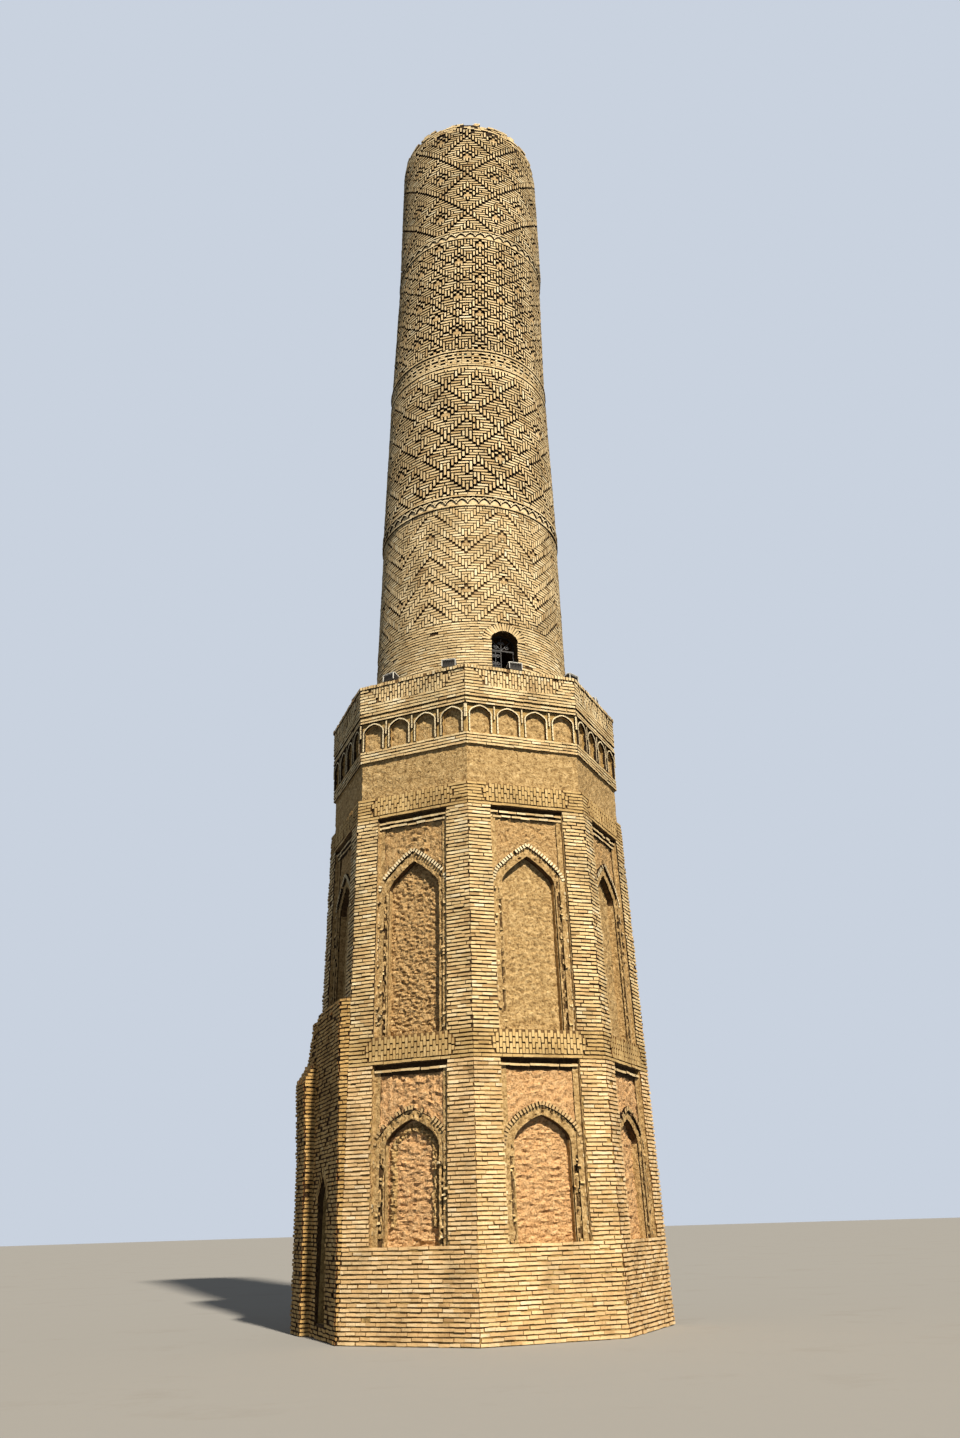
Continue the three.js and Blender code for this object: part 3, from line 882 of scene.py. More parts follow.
def lumps(point: Point, size: float, depth: float, seed: float = 0.0, flow: float = 1.0) -> float:
    """Relief of hand-thrown plaster at a point.

    Args:
        point: The point.
        size: Size of a lump.
        depth: Height of the relief.
        seed: Shifts the pattern.
        flow: Over 1, lumps are wider than tall.

    Returns:
        How far the plaster stands out.
    """
    x, y, z = (float(v) for v in point)
    where = Vector((x / size / flow + seed, y / size / flow, z / size))
    broad = 0.7 * noise.noise(where) + 0.4 * noise.noise(where * 2.3)
    return depth * (broad + 0.2 * noise.noise(where * 5.1))


def rim_height(angle: float) -> float:
    """Height of the worn rim at an angle, in whole courses, as in the solids.

    Args:
        angle: The angle, from -Y.

    Returns:
        The height.
    """
    angle %= 2 * math.pi
    swell = 0.095 + 0.190 * math.cos(angle + math.radians(80)) + 0.040 * math.sin(3 * angle + 1.2)
    teeth = 0.045 * math.sin(11 * angle) + 0.030 * math.sin(23 * angle + 0.7)
    return SHAFT["shaft_zone_1"].z1 + COURSE * round((swell + teeth) / COURSE)


def folded(value: int, period: int) -> int:
    """Steps from a value to the nearest multiple of a period."""
    rest = value % period
    return min(rest, period - rest)


class Weave(Enum):
    """How a zone's brick pattern runs."""

    LOZENGES = "concentric lozenges round the plugs"
    CHEVRONS = "zigzags that climb round the shaft"


@dataclass
class PatternedZone:
    """A zone of the shaft where upright and flat bricks step past each other round small plugs."""

    node: str
    weave: Weave
    repeats: int
    half: int
    cell: float
    seed: int
    start: int = 0
    shift: float = 0.0
    tall: int = 0
    folds: tuple[float, float] | None = None
    worn_top: bool = False
    period: int = 18
    plug_rows: tuple[int, int] = (17, 13)
    step: int = 6
    strong_from: int = 8
    hole: float = 0.066
    strong_hole: float = 0.066
    flat_joint: float = 0.016
    stand_joint: float = 0.012
    relief: float = 0.07
    share: float = 0.54

    def __post_init__(self) -> None:
        """Works out the zone's grid of cells."""
        self.wall = SHAFT[self.node]
        self.columns = self.repeats * 2 * self.half
        self.rows = int(round((self.wall.z1 - self.wall.z0) / self.cell))
        self.cell = (self.wall.z1 - self.wall.z0) / self.rows
        self.width = self.wall.girth / self.columns

    def distance(self, column: int, row: int) -> tuple[int, int]:
        """Steps from a cell to its plug.

        Args:
            column: The cell's column.
            row: The cell's row.

        Returns:
            The steps that set the pattern, and the steps to the nearest plug.
        """
        across = folded(column, 2 * self.half)
        if self.weave is Weave.CHEVRONS:
            rises = [folded(row - plug, self.period) for plug in self.plug_rows]
            return across + row - self.start, min(across + rises[0], self.half - across + rises[1])
        tall = self.tall or self.half
        up = folded(row - self.start, 2 * tall)
        near = min(across + up, self.half - across + tall - up)
        if self.folds is None:
            return near, near
        # The steps turn back beside, over and under each plug, so like bricks cross there.
        side = self.folds[0] if up < tall / 2 else self.half - self.folds[0]
        rise = self.folds[1] if across < self.half / 2 else tall - self.folds[1]
        return int(side - abs(across - side) + rise - abs(up - rise)), near

    def foot_hole(self, column: int, value: int, near: int) -> float:
        """Height of the hole under an upright brick: large along the strong chains.

        Args:
            column: The brick's column.
            value: The steps that set the pattern at its foot.
            near: The steps from there to the nearest plug.

        Returns:
            The hole's height.
        """
        if self.weave is Weave.LOZENGES:
            return self.strong_hole if near >= self.strong_from else self.hole
        strong = 0 if folded(column, 2 * self.half) < self.half / 2 else 2
        return self.strong_hole if value // self.step % 3 == strong else 0.5 * self.hole

    def dress(self) -> None:
        """Lays the zone's bricks: flat ones along the rows, upright ones up the columns, then the plugs."""
        work = Brickwork(f"{self.node}_bricks", PALE_BRICK, "pale_brick", self.seed, 0.003)
        columns, rows = range(self.columns), range(self.rows)
        value, near = np.array([[self.distance(column, row) for column in columns] for row in rows]).T
        value, near = value.T, near.T
        stands = (value - 2) % self.step < self.step // 2
        # The two cells beside a plug, one row down, are holes too.
        free = near > 0
        for row, column in np.argwhere(near == 0):
            if row:
                free[row - 1, [(column - 1) % self.columns, (column + 1) % self.columns]] = False
        wall = self.wall
        for row in rows:
            z = wall.z0 + (row + 0.5) * self.cell
            for start, span, _ in self.bricks(~stands[row] & free[row], True, self.width):
                along = start + span / 2 + self.shift
                if self.covered(along, z):
                    work.lay(wall, along, z, span - self.flat_joint, self.cell * self.share, self.relief)
        for column in columns:
            along = (column + 0.5) * self.width + self.shift
            for start, span, foot in self.bricks(stands[:, column] & free[:, column], False, self.cell):
                gap = self.stand_joint
                if span > 2.2 * self.cell:
                    gap = self.foot_hole(column, value[foot, column], near[foot, column])
                low, top = wall.z0 + start + gap, wall.z0 + start + span - self.stand_joint
                if top - low > SHORTEST and self.covered(along, top):
                    work.lay(wall, along, (low + top) / 2, self.width * self.share, top - low, self.relief)
        self.lay_plugs(work, near)
        work.build()

    @staticmethod
    def bricks(cells: np.ndarray, closed: bool, cell: float) -> Iterator[tuple[float, float, int]]:
        """Cuts each run of like cells into bricks of about three cells.

        Args:
            cells: Whether each cell belongs.
            closed: Whether the row closes on itself.
            cell: A cell's size along the run.

        Yields:
            Where a brick starts, its length with its joint, and its run's first cell.
        """
        count = len(cells)
        begin = int(np.argmin(cells)) if closed and not cells.all() else 0
        for belongs, group in groupby(range(begin, begin + count), key=lambda i: bool(cells[i % count])):
            run = list(group)
            if belongs:
                parts = max(1, round(len(run) / 3.2))
                span = len(run) * cell / parts
                yield from ((run[0] * cell + k * span, span, run[0]) for k in range(parts))

    def covered(self, along: float, top: float) -> bool:
        """Whether a brick lies under the zone's broken rim, if it has one."""
        return not self.worn_top or top < rim_height(along / self.wall.middle) - 3.0 * COURSE

    def lay_plugs(self, work: Brickwork, near: np.ndarray) -> None:
        """Lays the plug in the middle of each motif: a stem between two holes, on a wider body.

        Args:
            work: The brickwork they join.
            near: Steps from each cell to its plug.
        """
        for row, column in np.argwhere(near == 0):
            along = (column + 0.5) * self.width + self.shift
            z = self.wall.z0 + (row + 0.5) * self.cell
            if not self.covered(along, z + 0.2):
                continue
            for drop, wide, tall in ((1.0, 0.8, 1.0), (2.0, 2.2, 1.1)):
                work.lay(self.wall, along, z - drop * self.cell, self.width * wide, self.cell * tall,
                         self.relief + 0.003, tone=0.16)


@dataclass
class ScallopBand:
    """A narrow ring of half-round stucco lobes, each under a small hood, over a string course."""

    node: str
    count: int
    seed: int
    foot_gap: float = 0.05
    rise: float = 0.20
    string_proud: float = 0.06

    def dress(self) -> None:
        """Lays the ring's string courses, frames and hoods, and models the lobes."""
        wall = SHAFT[self.node]
        work = Brickwork(f"{self.node}_bricks", PALE_BRICK, "pale_brick", self.seed, 0.002)
        pitch = wall.girth / self.count
        half = pitch / 2 - 0.012
        foot = wall.z0 + self.foot_gap
        arch = PointedArch(half, foot + 0.05, foot + self.rise)
        for i in range(self.count):
            arch_ring(work, wall, arch, (0.0, 0.03), 0.06, 0.003, 0.062, centre=(i + 0.5) * pitch, tone=0.85)
            work.lay(wall, i * pitch, arch.apex - 0.005, pitch * 0.42, 0.05, 0.04, tone=0.8)
        for height, tall in ((wall.z1 - 0.03, 0.05), (wall.z0 + 0.022, 0.045)):
            work.course(wall, height, 0.0, wall.girth, proud=self.string_proud, tall=tall)
        work.build()
        self.lobes(wall, pitch, half, foot)

    def lobes(self, wall: RoundWall, pitch: float, half: float, foot: float) -> None:
        """Models the pale half-round lobes.

        Args:
            wall: The ring's wall.
            pitch: Distance from lobe to lobe.
            half: Half a lobe's width.
            foot: Height of a lobe's flat foot.
        """
        mesh = bmesh.new()
        for i in range(self.count):
            before = len(mesh.verts)
            made = bmesh.ops.create_circle(mesh, cap_ends=True, segments=14, radius=half * 0.94)
            face = made["verts"][0].link_faces[0]
            bmesh.ops.inset_individual(mesh, faces=[face], thickness=half * 0.25, depth=0.014)
            mesh.verts.ensure_lookup_table()
            for vertex in mesh.verts[before:]:
                height = foot + max(0.0, vertex.co.y + half * 0.25) / (half * 1.19) * (self.rise - 0.02)
                vertex.co = wall.spot((i + 0.5) * pitch + vertex.co.x, height, 0.006 + vertex.co.z)
        bmesh.ops.recalc_face_normals(mesh, faces=mesh.faces)
        name = f"{self.node}_lobes"
        add_piece(name, as_mesh(name, mesh), PALE_STUCCO, "pale_brick")


@dataclass
class MeanderRing:
    """The ring with a key pattern of small cut bricks between two mouldings, with a few glazed inserts."""

    node: str = "shaft_band_2"
    cell: float = 0.07
    low: float = 25.74
    high: float = 26.19
    mouldings: tuple[tuple[float, float], ...] = ((25.605, 0.05), (25.68, 0.075), (26.24, 0.075))
    longest: int = 4
    tile_share: float = 0.05
    motif: tuple[str, ...] = (
        "##############",
        "#.##.##...#.#.",
        "##############",
        "#...#..#...#..",
        "##############",
        "##.##..##.##.#",
        "##############",
    )
    seed: int = 52

    def dress(self) -> None:
        """Lays the mouldings, the key pattern and the inserts."""
        wall = SHAFT[self.node]
        work = Brickwork(f"{self.node}_bricks", PALE_BRICK, "pale_brick", self.seed, 0.002)
        tiles = Brickwork("meander_tiles", GLAZED_TILE, "pale_brick", self.seed + 1, 0.001)
        # Two mouldings lie along the foot of the ring and one along its head.
        for height, proud in self.mouldings:
            work.course(wall, height, 0.0, wall.girth, proud=proud, tall=0.05)
        width = len(self.motif[0])
        repeats = round(wall.girth / (width * self.cell))
        step = wall.girth / (repeats * width)
        tall = (self.high - self.low) / len(self.motif)
        for row, line in enumerate(reversed(self.motif)):
            z = self.low + (row + 0.5) * tall
            for repeat in range(repeats):
                for first, length in self.cuts(line):
                    middle = (repeat * width + first + length / 2) * step
                    if line[first] == "#":
                        work.lay(wall, middle, z, length * step - 0.008, tall - 0.012, 0.045)
                    elif tiles.chance.random() < self.tile_share:
                        tiles.lay(wall, middle, z, step * 0.6, tall * 0.6, 0.012, tone=0.5)
        work.build()
        tiles.build()

    def cuts(self, line: str) -> Iterator[tuple[int, int]]:
        """Cuts a row of the key into bricks of a few cells and holes of one.

        Args:
            line: The row's cells.

        Yields:
            A brick's or a hole's first cell and its length.
        """
        first = 0
        while first < len(line):
            rest = line[first:first + self.longest]
            length = max(1, len(rest) - len(rest.lstrip("#")))
            yield first, length
            first += length


@dataclass
class Niche:
    """A tall niche in a side of the base: a pitted coat round a pointed opening, a rope ring, and plaster."""

    face: int
    foot: float
    top: float
    arch: PointedArch
    decay: float
    fillets: int
    lump: float
    relief: float
    flow: float
    strip: float = 0.232
    archivolt: float = 0.178
    rope: float = 0.094
    row: float = 0.07
    thinnest: float = 0.004
    wall: FlatWall = field(init=False)

    def __post_init__(self) -> None:
        """Finds the side that the niche is in."""
        self.wall = octagon_side(self.face, BASE_RADIUS, BASE_DRAW)

    @staticmethod
    def step_at(along: float) -> float:
        """Level of the stepped frame at a distance from the niche's middle."""
        return -FRAME_DEPTH if abs(along) > FILLET_HALF else -SPANDREL_DEPTH

    def dress(self, work: Brickwork, ropes: Brickwork, eroded: Brickwork) -> None:
        """Lays the fillets, the ring of small teeth and the broken bits of the jambs.

        Args:
            work: The brickwork of the frames.
            ropes: The brickwork of the rings of teeth.
            eroded: The brickwork of broken bits in the jambs.
        """
        end = FRAME_HALF - 0.02
        for k in range(self.fillets):
            work.course(self.wall, self.top - 0.135 - 0.105 * k, -end, end, 0.1 * k, tall=0.052, wobble=2.0,
                        proud=-0.022 - 0.028 * k, bed=-FRAME_DEPTH)
        inner = self.archivolt + 0.008
        arch_ring(ropes, self.wall, self.arch, (inner, inner + self.rope), 0.08, 0.032, -0.05,
                  -SPANDREL_DEPTH, FRAME_HALF - 0.03, missing=0.2 * self.decay,
                  tone=0.9 if self.top > LOWER_TOP else 0.2)
        for row in range(int((self.arch.spring - self.foot) / COURSE)):
            for side in (-1, 1):
                self.broken_bits(work, eroded, side, self.foot + (row + 0.5) * COURSE)

    def broken_bits(self, work: Brickwork, eroded: Brickwork, side: int, z: float) -> None:
        """Lays the thin broken strip by the pier and brick ends that show in the coat.

        Args:
            work: The brickwork of the frames.
            eroded: The brickwork of broken bits.
            side: -1 for the left jamb, 1 for the right one.
            z: The course's middle height.
        """
        if work.chance.random() > 0.3 + 0.4 * self.decay:
            work.lay(self.wall, side * (FRAME_HALF - 0.03), z, 0.03, 0.07, -0.06, -FRAME_DEPTH, wobble=2.0)
        if eroded.chance.random() < 0.25 + 0.3 * self.decay:
            # Ends of bricks stick out where the coat has fallen.
            along = side * (self.arch.half + eroded.chance.uniform(0.06, 0.2))
            level = self.step_at(along)
            long = eroded.chance.uniform(0.04, 0.09)
            eroded.lay(self.wall, along, z, long, 0.05, level + 0.055, level, wobble=4.0)

    def surround(self) -> Coat:
        """Gives the pitted coat that runs up one jamb, round the arch and down the other jamb.

        Returns:
            The coat.
        """
        path = ArchPath(self.arch, self.foot, self.archivolt / 2)
        fade = 0.35

        def place(across: float, up: float) -> Point:
            """Gives a point of the coat, which narrows from the jambs to the arch.

            Args:
                across: Share of its width.
                up: Share of its height.

            Returns:
                The point.
            """
            run = up * path.total
            past = abs(run - path.total / 2) - path.steps[-1] / 2
            ease = float(np.clip(past / fade, 0.0, 1.0))
            wide = self.archivolt + (self.strip - self.archivolt) * ease
            along, z = path.place(run, round(across * wide, 6), across * self.archivolt)
            return self.wall.spot(along, z, self.surround_level(along, z, across, ease))

        return place, 9, int(path.total / 0.032)

    def surround_level(self, along: float, z: float, across: float, ease: float) -> float:
        """Level of the surround's face: smooth round the arch, with rows of pits down the jambs.

        Args:
            along: Distance along the wall.
            z: Height.
            across: Share of the coat's width, from the opening out.
            ease: 1 on a jamb, 0 on the arch.

        Returns:
            How far out of the wall it stands.
        """
        level = max(-0.112, self.step_at(along) + 0.012)
        level += lumps((along * 3.0, self.face, z), 0.11, 0.02 + 0.02 * self.decay)
        if 0.2 < across < 0.85:
            pit = noise.noise(Vector((self.face * 5.3 + along * 19.0, 0.0, round(z / COURSE) * 1.7)))
            if pit > 0.02 - 0.1 * self.decay * ease + 0.4 * (1 - ease):
                level -= 0.06
        return level

    def edge(self, side: int) -> Coat:
        """Gives the thin coat on a pier's side and the frame's outer step.

        Args:
            side: -1 for the left one, 1 for the right one.

        Returns:
            The coat.
        """
        low, high = self.foot, self.top - 0.09
        turn = 0.35

        def place(across: float, up: float) -> Point:
            """Gives a point of the coat, which goes round the step's corner.

            Args:
                across: Share of its width.
                up: Share of its height.

            Returns:
                The point.
            """
            z = low + (high - low) * up
            relief = 0.014 + max(0.0, lumps((side * 3.0 + across, self.face + side, z), 0.06,
                                            0.012 + 0.02 * self.decay))
            if across < turn:
                out = (relief - FRAME_DEPTH) * across / turn
                return self.wall.spot(side * (FRAME_HALF - 0.6 * relief), z, out)
            share = (across - turn) / (1 - turn)
            along = FRAME_HALF - 0.01 - (FRAME_HALF - FILLET_HALF) * share
            return self.wall.spot(side * along, z, relief - FRAME_DEPTH)

        return place, 6, int((high - low) / self.row)

    def reveal(self, side: int) -> Coat:
        """Gives the thin coat on the opening's side, from the surround in.

        Args:
            side: -1 for the left one, 1 for the right one.

        Returns:
            The coat.
        """
        low, high = self.foot, self.arch.spring + 0.1

        def place(across: float, up: float) -> Point:
            """Gives a point of the coat.

            Args:
                across: Share of its width.
                up: Share of its height.

            Returns:
                The point.
            """
            z = low + (high - low) * up
            relief = 0.012 + max(0.0, lumps((side * 2.0 + across, self.face - side, z), 0.07, 0.02))
            out = -SPANDREL_DEPTH - (INFILL_DEPTH - SPANDREL_DEPTH) * across
            return self.wall.spot(side * (self.arch.half - relief), z, out)

        return place, 3, int((high - low) / self.row)

    def lining(self) -> Coat:
        """Gives the rubble left of an older arch inside the opening.

        Returns:
            The coat.
        """
        wide = 0.24
        path = ArchPath(self.arch, self.arch.spring - 0.8 * (self.arch.spring - self.foot), -wide / 2)

        def place(across: float, up: float) -> Point:
            """Gives a point of the rubble, which is thickest along its middle.

            Args:
                across: Share of its width.
                up: Share of its height.

            Returns:
                The point.
            """
            inside = -wide * (1 - across)
            along, z = path.place(up * path.total, inside, inside)
            relief = 0.10 * math.sin(math.pi * min(1.0, 0.15 + across))
            relief += lumps(self.wall.spot(along, z), 0.055, 0.12, 7.0)
            return self.wall.spot(along, z, max(0.02, relief) - INFILL_DEPTH)

        return place, 9, int(path.total / 0.03)

    def infill(self) -> Coat:
        """Gives the plaster coat on the niche's back.

        Returns:
            The coat.
        """
        low, high = self.foot, self.arch.apex + 0.05

        def place(across: float, up: float) -> Point:
            """Gives a point of the coat, with small lumps over broad swells.

            Args:
                across: Share of its width.
                up: Share of its height.

            Returns:
                The point.
            """
            along = (across - 0.5) * 2 * (self.arch.half + 0.03)
            z = low + (high - low) * up
            flat = self.wall.spot(along, z)
            relief = 0.04 + lumps(flat, self.lump, self.relief, self.face * 3.7, self.flow)
            relief += lumps(flat, 0.6, 0.02, 5.0)
            return self.wall.spot(along, z, max(self.thinnest, relief) - INFILL_DEPTH)

        # The two sides that face the camera get the finer grid.
        step = 0.027 if self.face in (WORN_FACE, DOOR_FACE) else 0.045
        return place, int(2 * self.arch.half / step), int((high - low) / step)

    def spandrel(self) -> Coat:
        """Gives the plaster coat over the arch.

        Returns:
            The coat.
        """
        top = self.top - FILLET_DROP - self.thinnest
        depth = 0.045 + 0.06 * self.decay

        def place(across: float, up: float) -> Point:
            """Gives a point of the coat, which starts from the arch's outer curve.

            Args:
                across: Share of its width.
                up: Share of its height.

            Returns:
                The point.
            """
            along = (across - 0.5) * 2 * (FILLET_HALF - 0.004)
            low = self.arch.height(along, 0.2)
            z = low + (top - low) * up
            relief = 0.03 + lumps(self.wall.spot(along, z), 0.075, depth, self.face * 1.9, 1.8)
            return self.wall.spot(along, z, max(self.thinnest, relief) - SPANDREL_DEPTH)

        return place, 38, 18


@dataclass
class Band:
    """A band round the octagon: upright bricks in a panel with slanting ends, flat courses at the corners."""

    low: float
    high: float
    panel_low: float
    halves: tuple[float, float, float]
    radius: float
    draw: float
    bed: float
    pitch: float = 0.076
    joint: float = 0.013

    def half_at(self, height: float) -> float:
        """Half the panel's width at a height."""
        middle = self.panel_low + (self.high - self.panel_low) * 0.52
        return float(np.interp(height, (self.panel_low, middle, self.high), self.halves))

    def dress(self, work: Brickwork, face: int) -> None:
        """Lays one side of the band.

        Args:
            work: The brickwork it joins.
            face: The side's number.
        """
        wall = octagon_side(face, self.radius, self.draw)
        rows = max(1, round((self.high - self.low) / COURSE))
        pitch = (self.high - self.low) / rows
        for row in range(rows):
            z = self.low + (row + 0.5) * pitch
            edge = wall.half_width(z) + CORNER_LAP
            shift = BOND * (row % 2)
            if z < self.panel_low:
                work.course(wall, z, -edge, edge, 0.06 + shift)
                continue
            half = self.half_at(z) + 0.006
            work.course(wall, z, -edge, -half, -edge + shift)
            work.course(wall, z, half, edge, half + shift)
        columns = int(2 * max(self.halves) / self.pitch)
        for column in range(columns + 1):
            self.column(work, wall, (column - columns / 2) * self.pitch, column)

    def column(self, work: Brickwork, wall: FlatWall, along: float, number: int) -> None:
        """Lays one column of upright bricks, as high as the panel is there.

        Args:
            work: The brickwork it joins.
            wall: The side's wall.
            along: The column's place.
            number: The column's number.
        """
        heights = np.linspace(self.panel_low, self.high, 40)
        inside = [z for z in heights if self.half_at(z) > abs(along) + 0.02]
        if len(inside) < 4:
            return
        low, high = inside[0] + 0.008, inside[-1] - 0.008
        z = low - (BRICK_LONG / 2 if number % 2 else 0.0)
        while z < high - 0.03:
            foot, head = max(z, low), min(z + BRICK_LONG - 0.018, high)
            if head - foot > 0.05 and work.chance.random() > 0.01:
                work.lay(wall, along, (foot + head) / 2, self.pitch - self.joint, head - foot, bed=-self.bed)
            z += BRICK_LONG


@dataclass
class Base:
    """The battered octagon with its piers, bands and niches."""

    lower: PointedArch = PointedArch(0.66, 3.70, 4.305)
    upper: PointedArch = PointedArch(0.67, 9.38, 10.115)
    seed: int = 11

    def dress(self) -> None:
        """Lays the piers, bands, niches and their plaster."""
        for tier, finish, low, high in (("lower", OCHRE_BRICK, 0.0, LOWER_TOP),
                                        ("upper", BUFF_BRICK, MIDDLE_TOP, UPPER_TOP)):
            work = Brickwork(f"{tier}_pier_bricks", finish, "brick", self.seed + 5, 0.007, 0.2)
            for face in range(FACES):
                self.piers(work, face, low, high)
            work.build()
        bands = Brickwork("band_bricks", TAN_BRICK, "brick", self.seed + 20, 0.005, 0.12)
        for low, high in ((LOWER_TOP, MIDDLE_TOP), (UPPER_TOP, BASE_TOP)):
            band = Band(low, high, low + 0.085, (1.05, 1.16, 0.95), BASE_RADIUS, BASE_DRAW, 0.025)
            for face in range(FACES):
                if low > FACING_TOP or face != ENTRANCE_FACE:
                    band.dress(bands, face)
        bands.build()
        self.niches()

    def piers(self, work: Brickwork, face: int, low: float, high: float) -> None:
        """Lays the flat courses of one side, leaving its niche.

        Args:
            work: The brickwork they join.
            face: The side's number.
            low: Where they start.
            high: Where they end.
        """
        wall = octagon_side(face, BASE_RADIUS, BASE_DRAW)
        rows = round((high - low) / COURSE)
        pitch = (high - low) / rows
        for row in range(rows):
            z = low + (row + 0.5) * pitch
            edge = wall.half_width(z) + CORNER_LAP
            shift = BOND * (row % 2) + 0.02 * work.chance.normal()
            if face == ENTRANCE_FACE and z < FACING_TOP:
                continue
            if z < SILL:
                work.course(wall, z, -edge, edge, shift, 0.001)
                continue
            work.course(wall, z, -edge, -FRAME_HALF, -edge + shift, 0.003)
            work.course(wall, z, FRAME_HALF, edge, edge - shift - 0.247, 0.003)

    def niches(self) -> None:
        """Dresses all the niches."""
        frames = Brickwork("niche_frame_bricks", PALE_BRICK, "pale_brick", self.seed + 40, 0.004)
        ropes = Brickwork("niche_rope_bricks", PALE_BRICK, "pale_brick", self.seed + 42, 0.003)
        broken = Brickwork("broken_jamb_bricks", BUFF_BRICK, "pale_brick", self.seed + 41, 0.006)
        worn, upper, lower, surrounds, edges, high_spandrels, low_spandrels = [], [], [], [], [], [], []
        for face in range(FACES):
            # One side is far more worn than the rest, and low down more than high up.
            decay = {WORN_FACE: 0.9, DOOR_FACE: 0.35}.get(face, 0.5)
            relief = {WORN_FACE: 0.075, DOOR_FACE: 0.034}.get(face, 0.05)
            foot = FACING_TOP if face == ENTRANCE_FACE else MIDDLE_TOP
            both = [Niche(face, foot, UPPER_TOP, self.upper, 0.7 * decay, 2, 0.062, relief, 1.5)]
            (worn if face == WORN_FACE else upper).append(both[0].infill())
            if face != ENTRANCE_FACE:
                both.append(Niche(face, SILL, LOWER_TOP, self.lower, decay, 1, 0.075, 0.07, 2.4))
                lower.append(both[1].infill())
            for niche in both:
                niche.dress(frames, ropes, broken)
                surrounds.append(niche.surround())
                edges += [niche.edge(-1), niche.edge(1), niche.reveal(-1), niche.reveal(1)]
                (low_spandrels if niche.top == LOWER_TOP else high_spandrels).append(niche.spandrel())
                if niche.decay > 0.8:
                    surrounds.append(niche.lining())
        for work in (frames, ropes, broken):
            work.build()
        for name, finish, coats, thickness in (
                ("worn_niche_plaster", NICHE_PLASTER, worn, 0.012),
                ("upper_niche_plaster", STRAW_PLASTER, upper, 0.012),
                ("lower_niche_plaster", ROSY_PLASTER, lower, 0.012),
                ("niche_surround_plaster", STRAW_PLASTER, surrounds, 0.012),
                ("niche_edge_plaster", STRAW_PLASTER, edges, 0.01),
                ("upper_spandrel_plaster", NICHE_PLASTER, high_spandrels, 0.01),
                ("lower_spandrel_plaster", ROSY_PLASTER, low_spandrels, 0.01)):
            sheet_piece(name, finish, coats, thickness)


@dataclass
class Entrance:
    """The plumb facing with the pointed ground doorway, and the buttress beside it."""

    front: float = 3.90
    arch: PointedArch = PointedArch(0.435, 2.72, 3.27)
    floor: float = 0.30
    ring: float = 0.22
    # The facing's left end, where the buttress starts, and the buttress's far cheek.
    left: float = -1.10
    far: float = -2.10
    buttress_top: float = 7.0
    outline: tuple[tuple[float, float], ...] = (
        (0.0, 4.11), (3.7, 4.11), (5.5, 4.19), (6.0, 3.90), (6.6, 3.83), (7.0, 3.79))
    seed: int = 71

    def dress(self) -> None:
        """Lays the facing's rough courses, the doorway's ring and the buttress."""
        work = Brickwork("entrance_bricks", AMBER_BRICK, "brick", self.seed, 0.006)
        wall = FlatWall(180.0, self.front)
        side = octagon_side(ENTRANCE_FACE + 1, BASE_RADIUS, BASE_DRAW)
        rows = int(FACING_TOP / COURSE)
        for row in range(rows):
            z = (row + 0.5) * FACING_TOP / rows
            shift = BOND * (row % 2) + 0.02 * work.chance.normal()
            # The facing ends flush with the next side, whose courses run on over its end.
            end = 1.546 - 0.034 * z
            work.course(side, z, -1.651 - 0.024 * z, -side.half_width(z) - CORNER_LAP, shift, wobble=1.5)
            gap = self.arch.gap(z, self.floor, self.ring, 0.005) if z < self.arch.apex + 0.25 else 0.0
            work.open_course(wall, z, (self.left, end), gap, shift, 0.03, wobble=1.5)
        arch_ring(work, wall, self.arch, (0.0, self.ring), 0.075, 0.014, 0.03)
        self.buttress(work)
        work.build()

    def buttress(self, work: Brickwork) -> None:
        """Lays the buttress's front and its two cheeks.

        Args:
            work: The brickwork they join.
        """
        heights, reaches = zip(*self.outline)
        rows = int(self.buttress_top / COURSE)
        for row in range(rows):
            z = (row + 0.5) * self.buttress_top / rows
            reach = float(np.interp(z, heights, reaches))
            shift = BOND * (row % 2)
            corner = min(5.47 - 0.034 * z + self.far, 3.6)
            for turn, out, start, end, slide, missing in (
                    (180.0, reach, self.far, self.left, shift, 0.04),
                    (-90.0, self.left, -reach - 0.01, -self.front, shift - reach, 0.05),
                    (90.0, -self.far, corner, reach + 0.01, shift, 0.04)):
                work.course(FlatWall(turn, out), z, start, end, slide, missing, wobble=1.5)


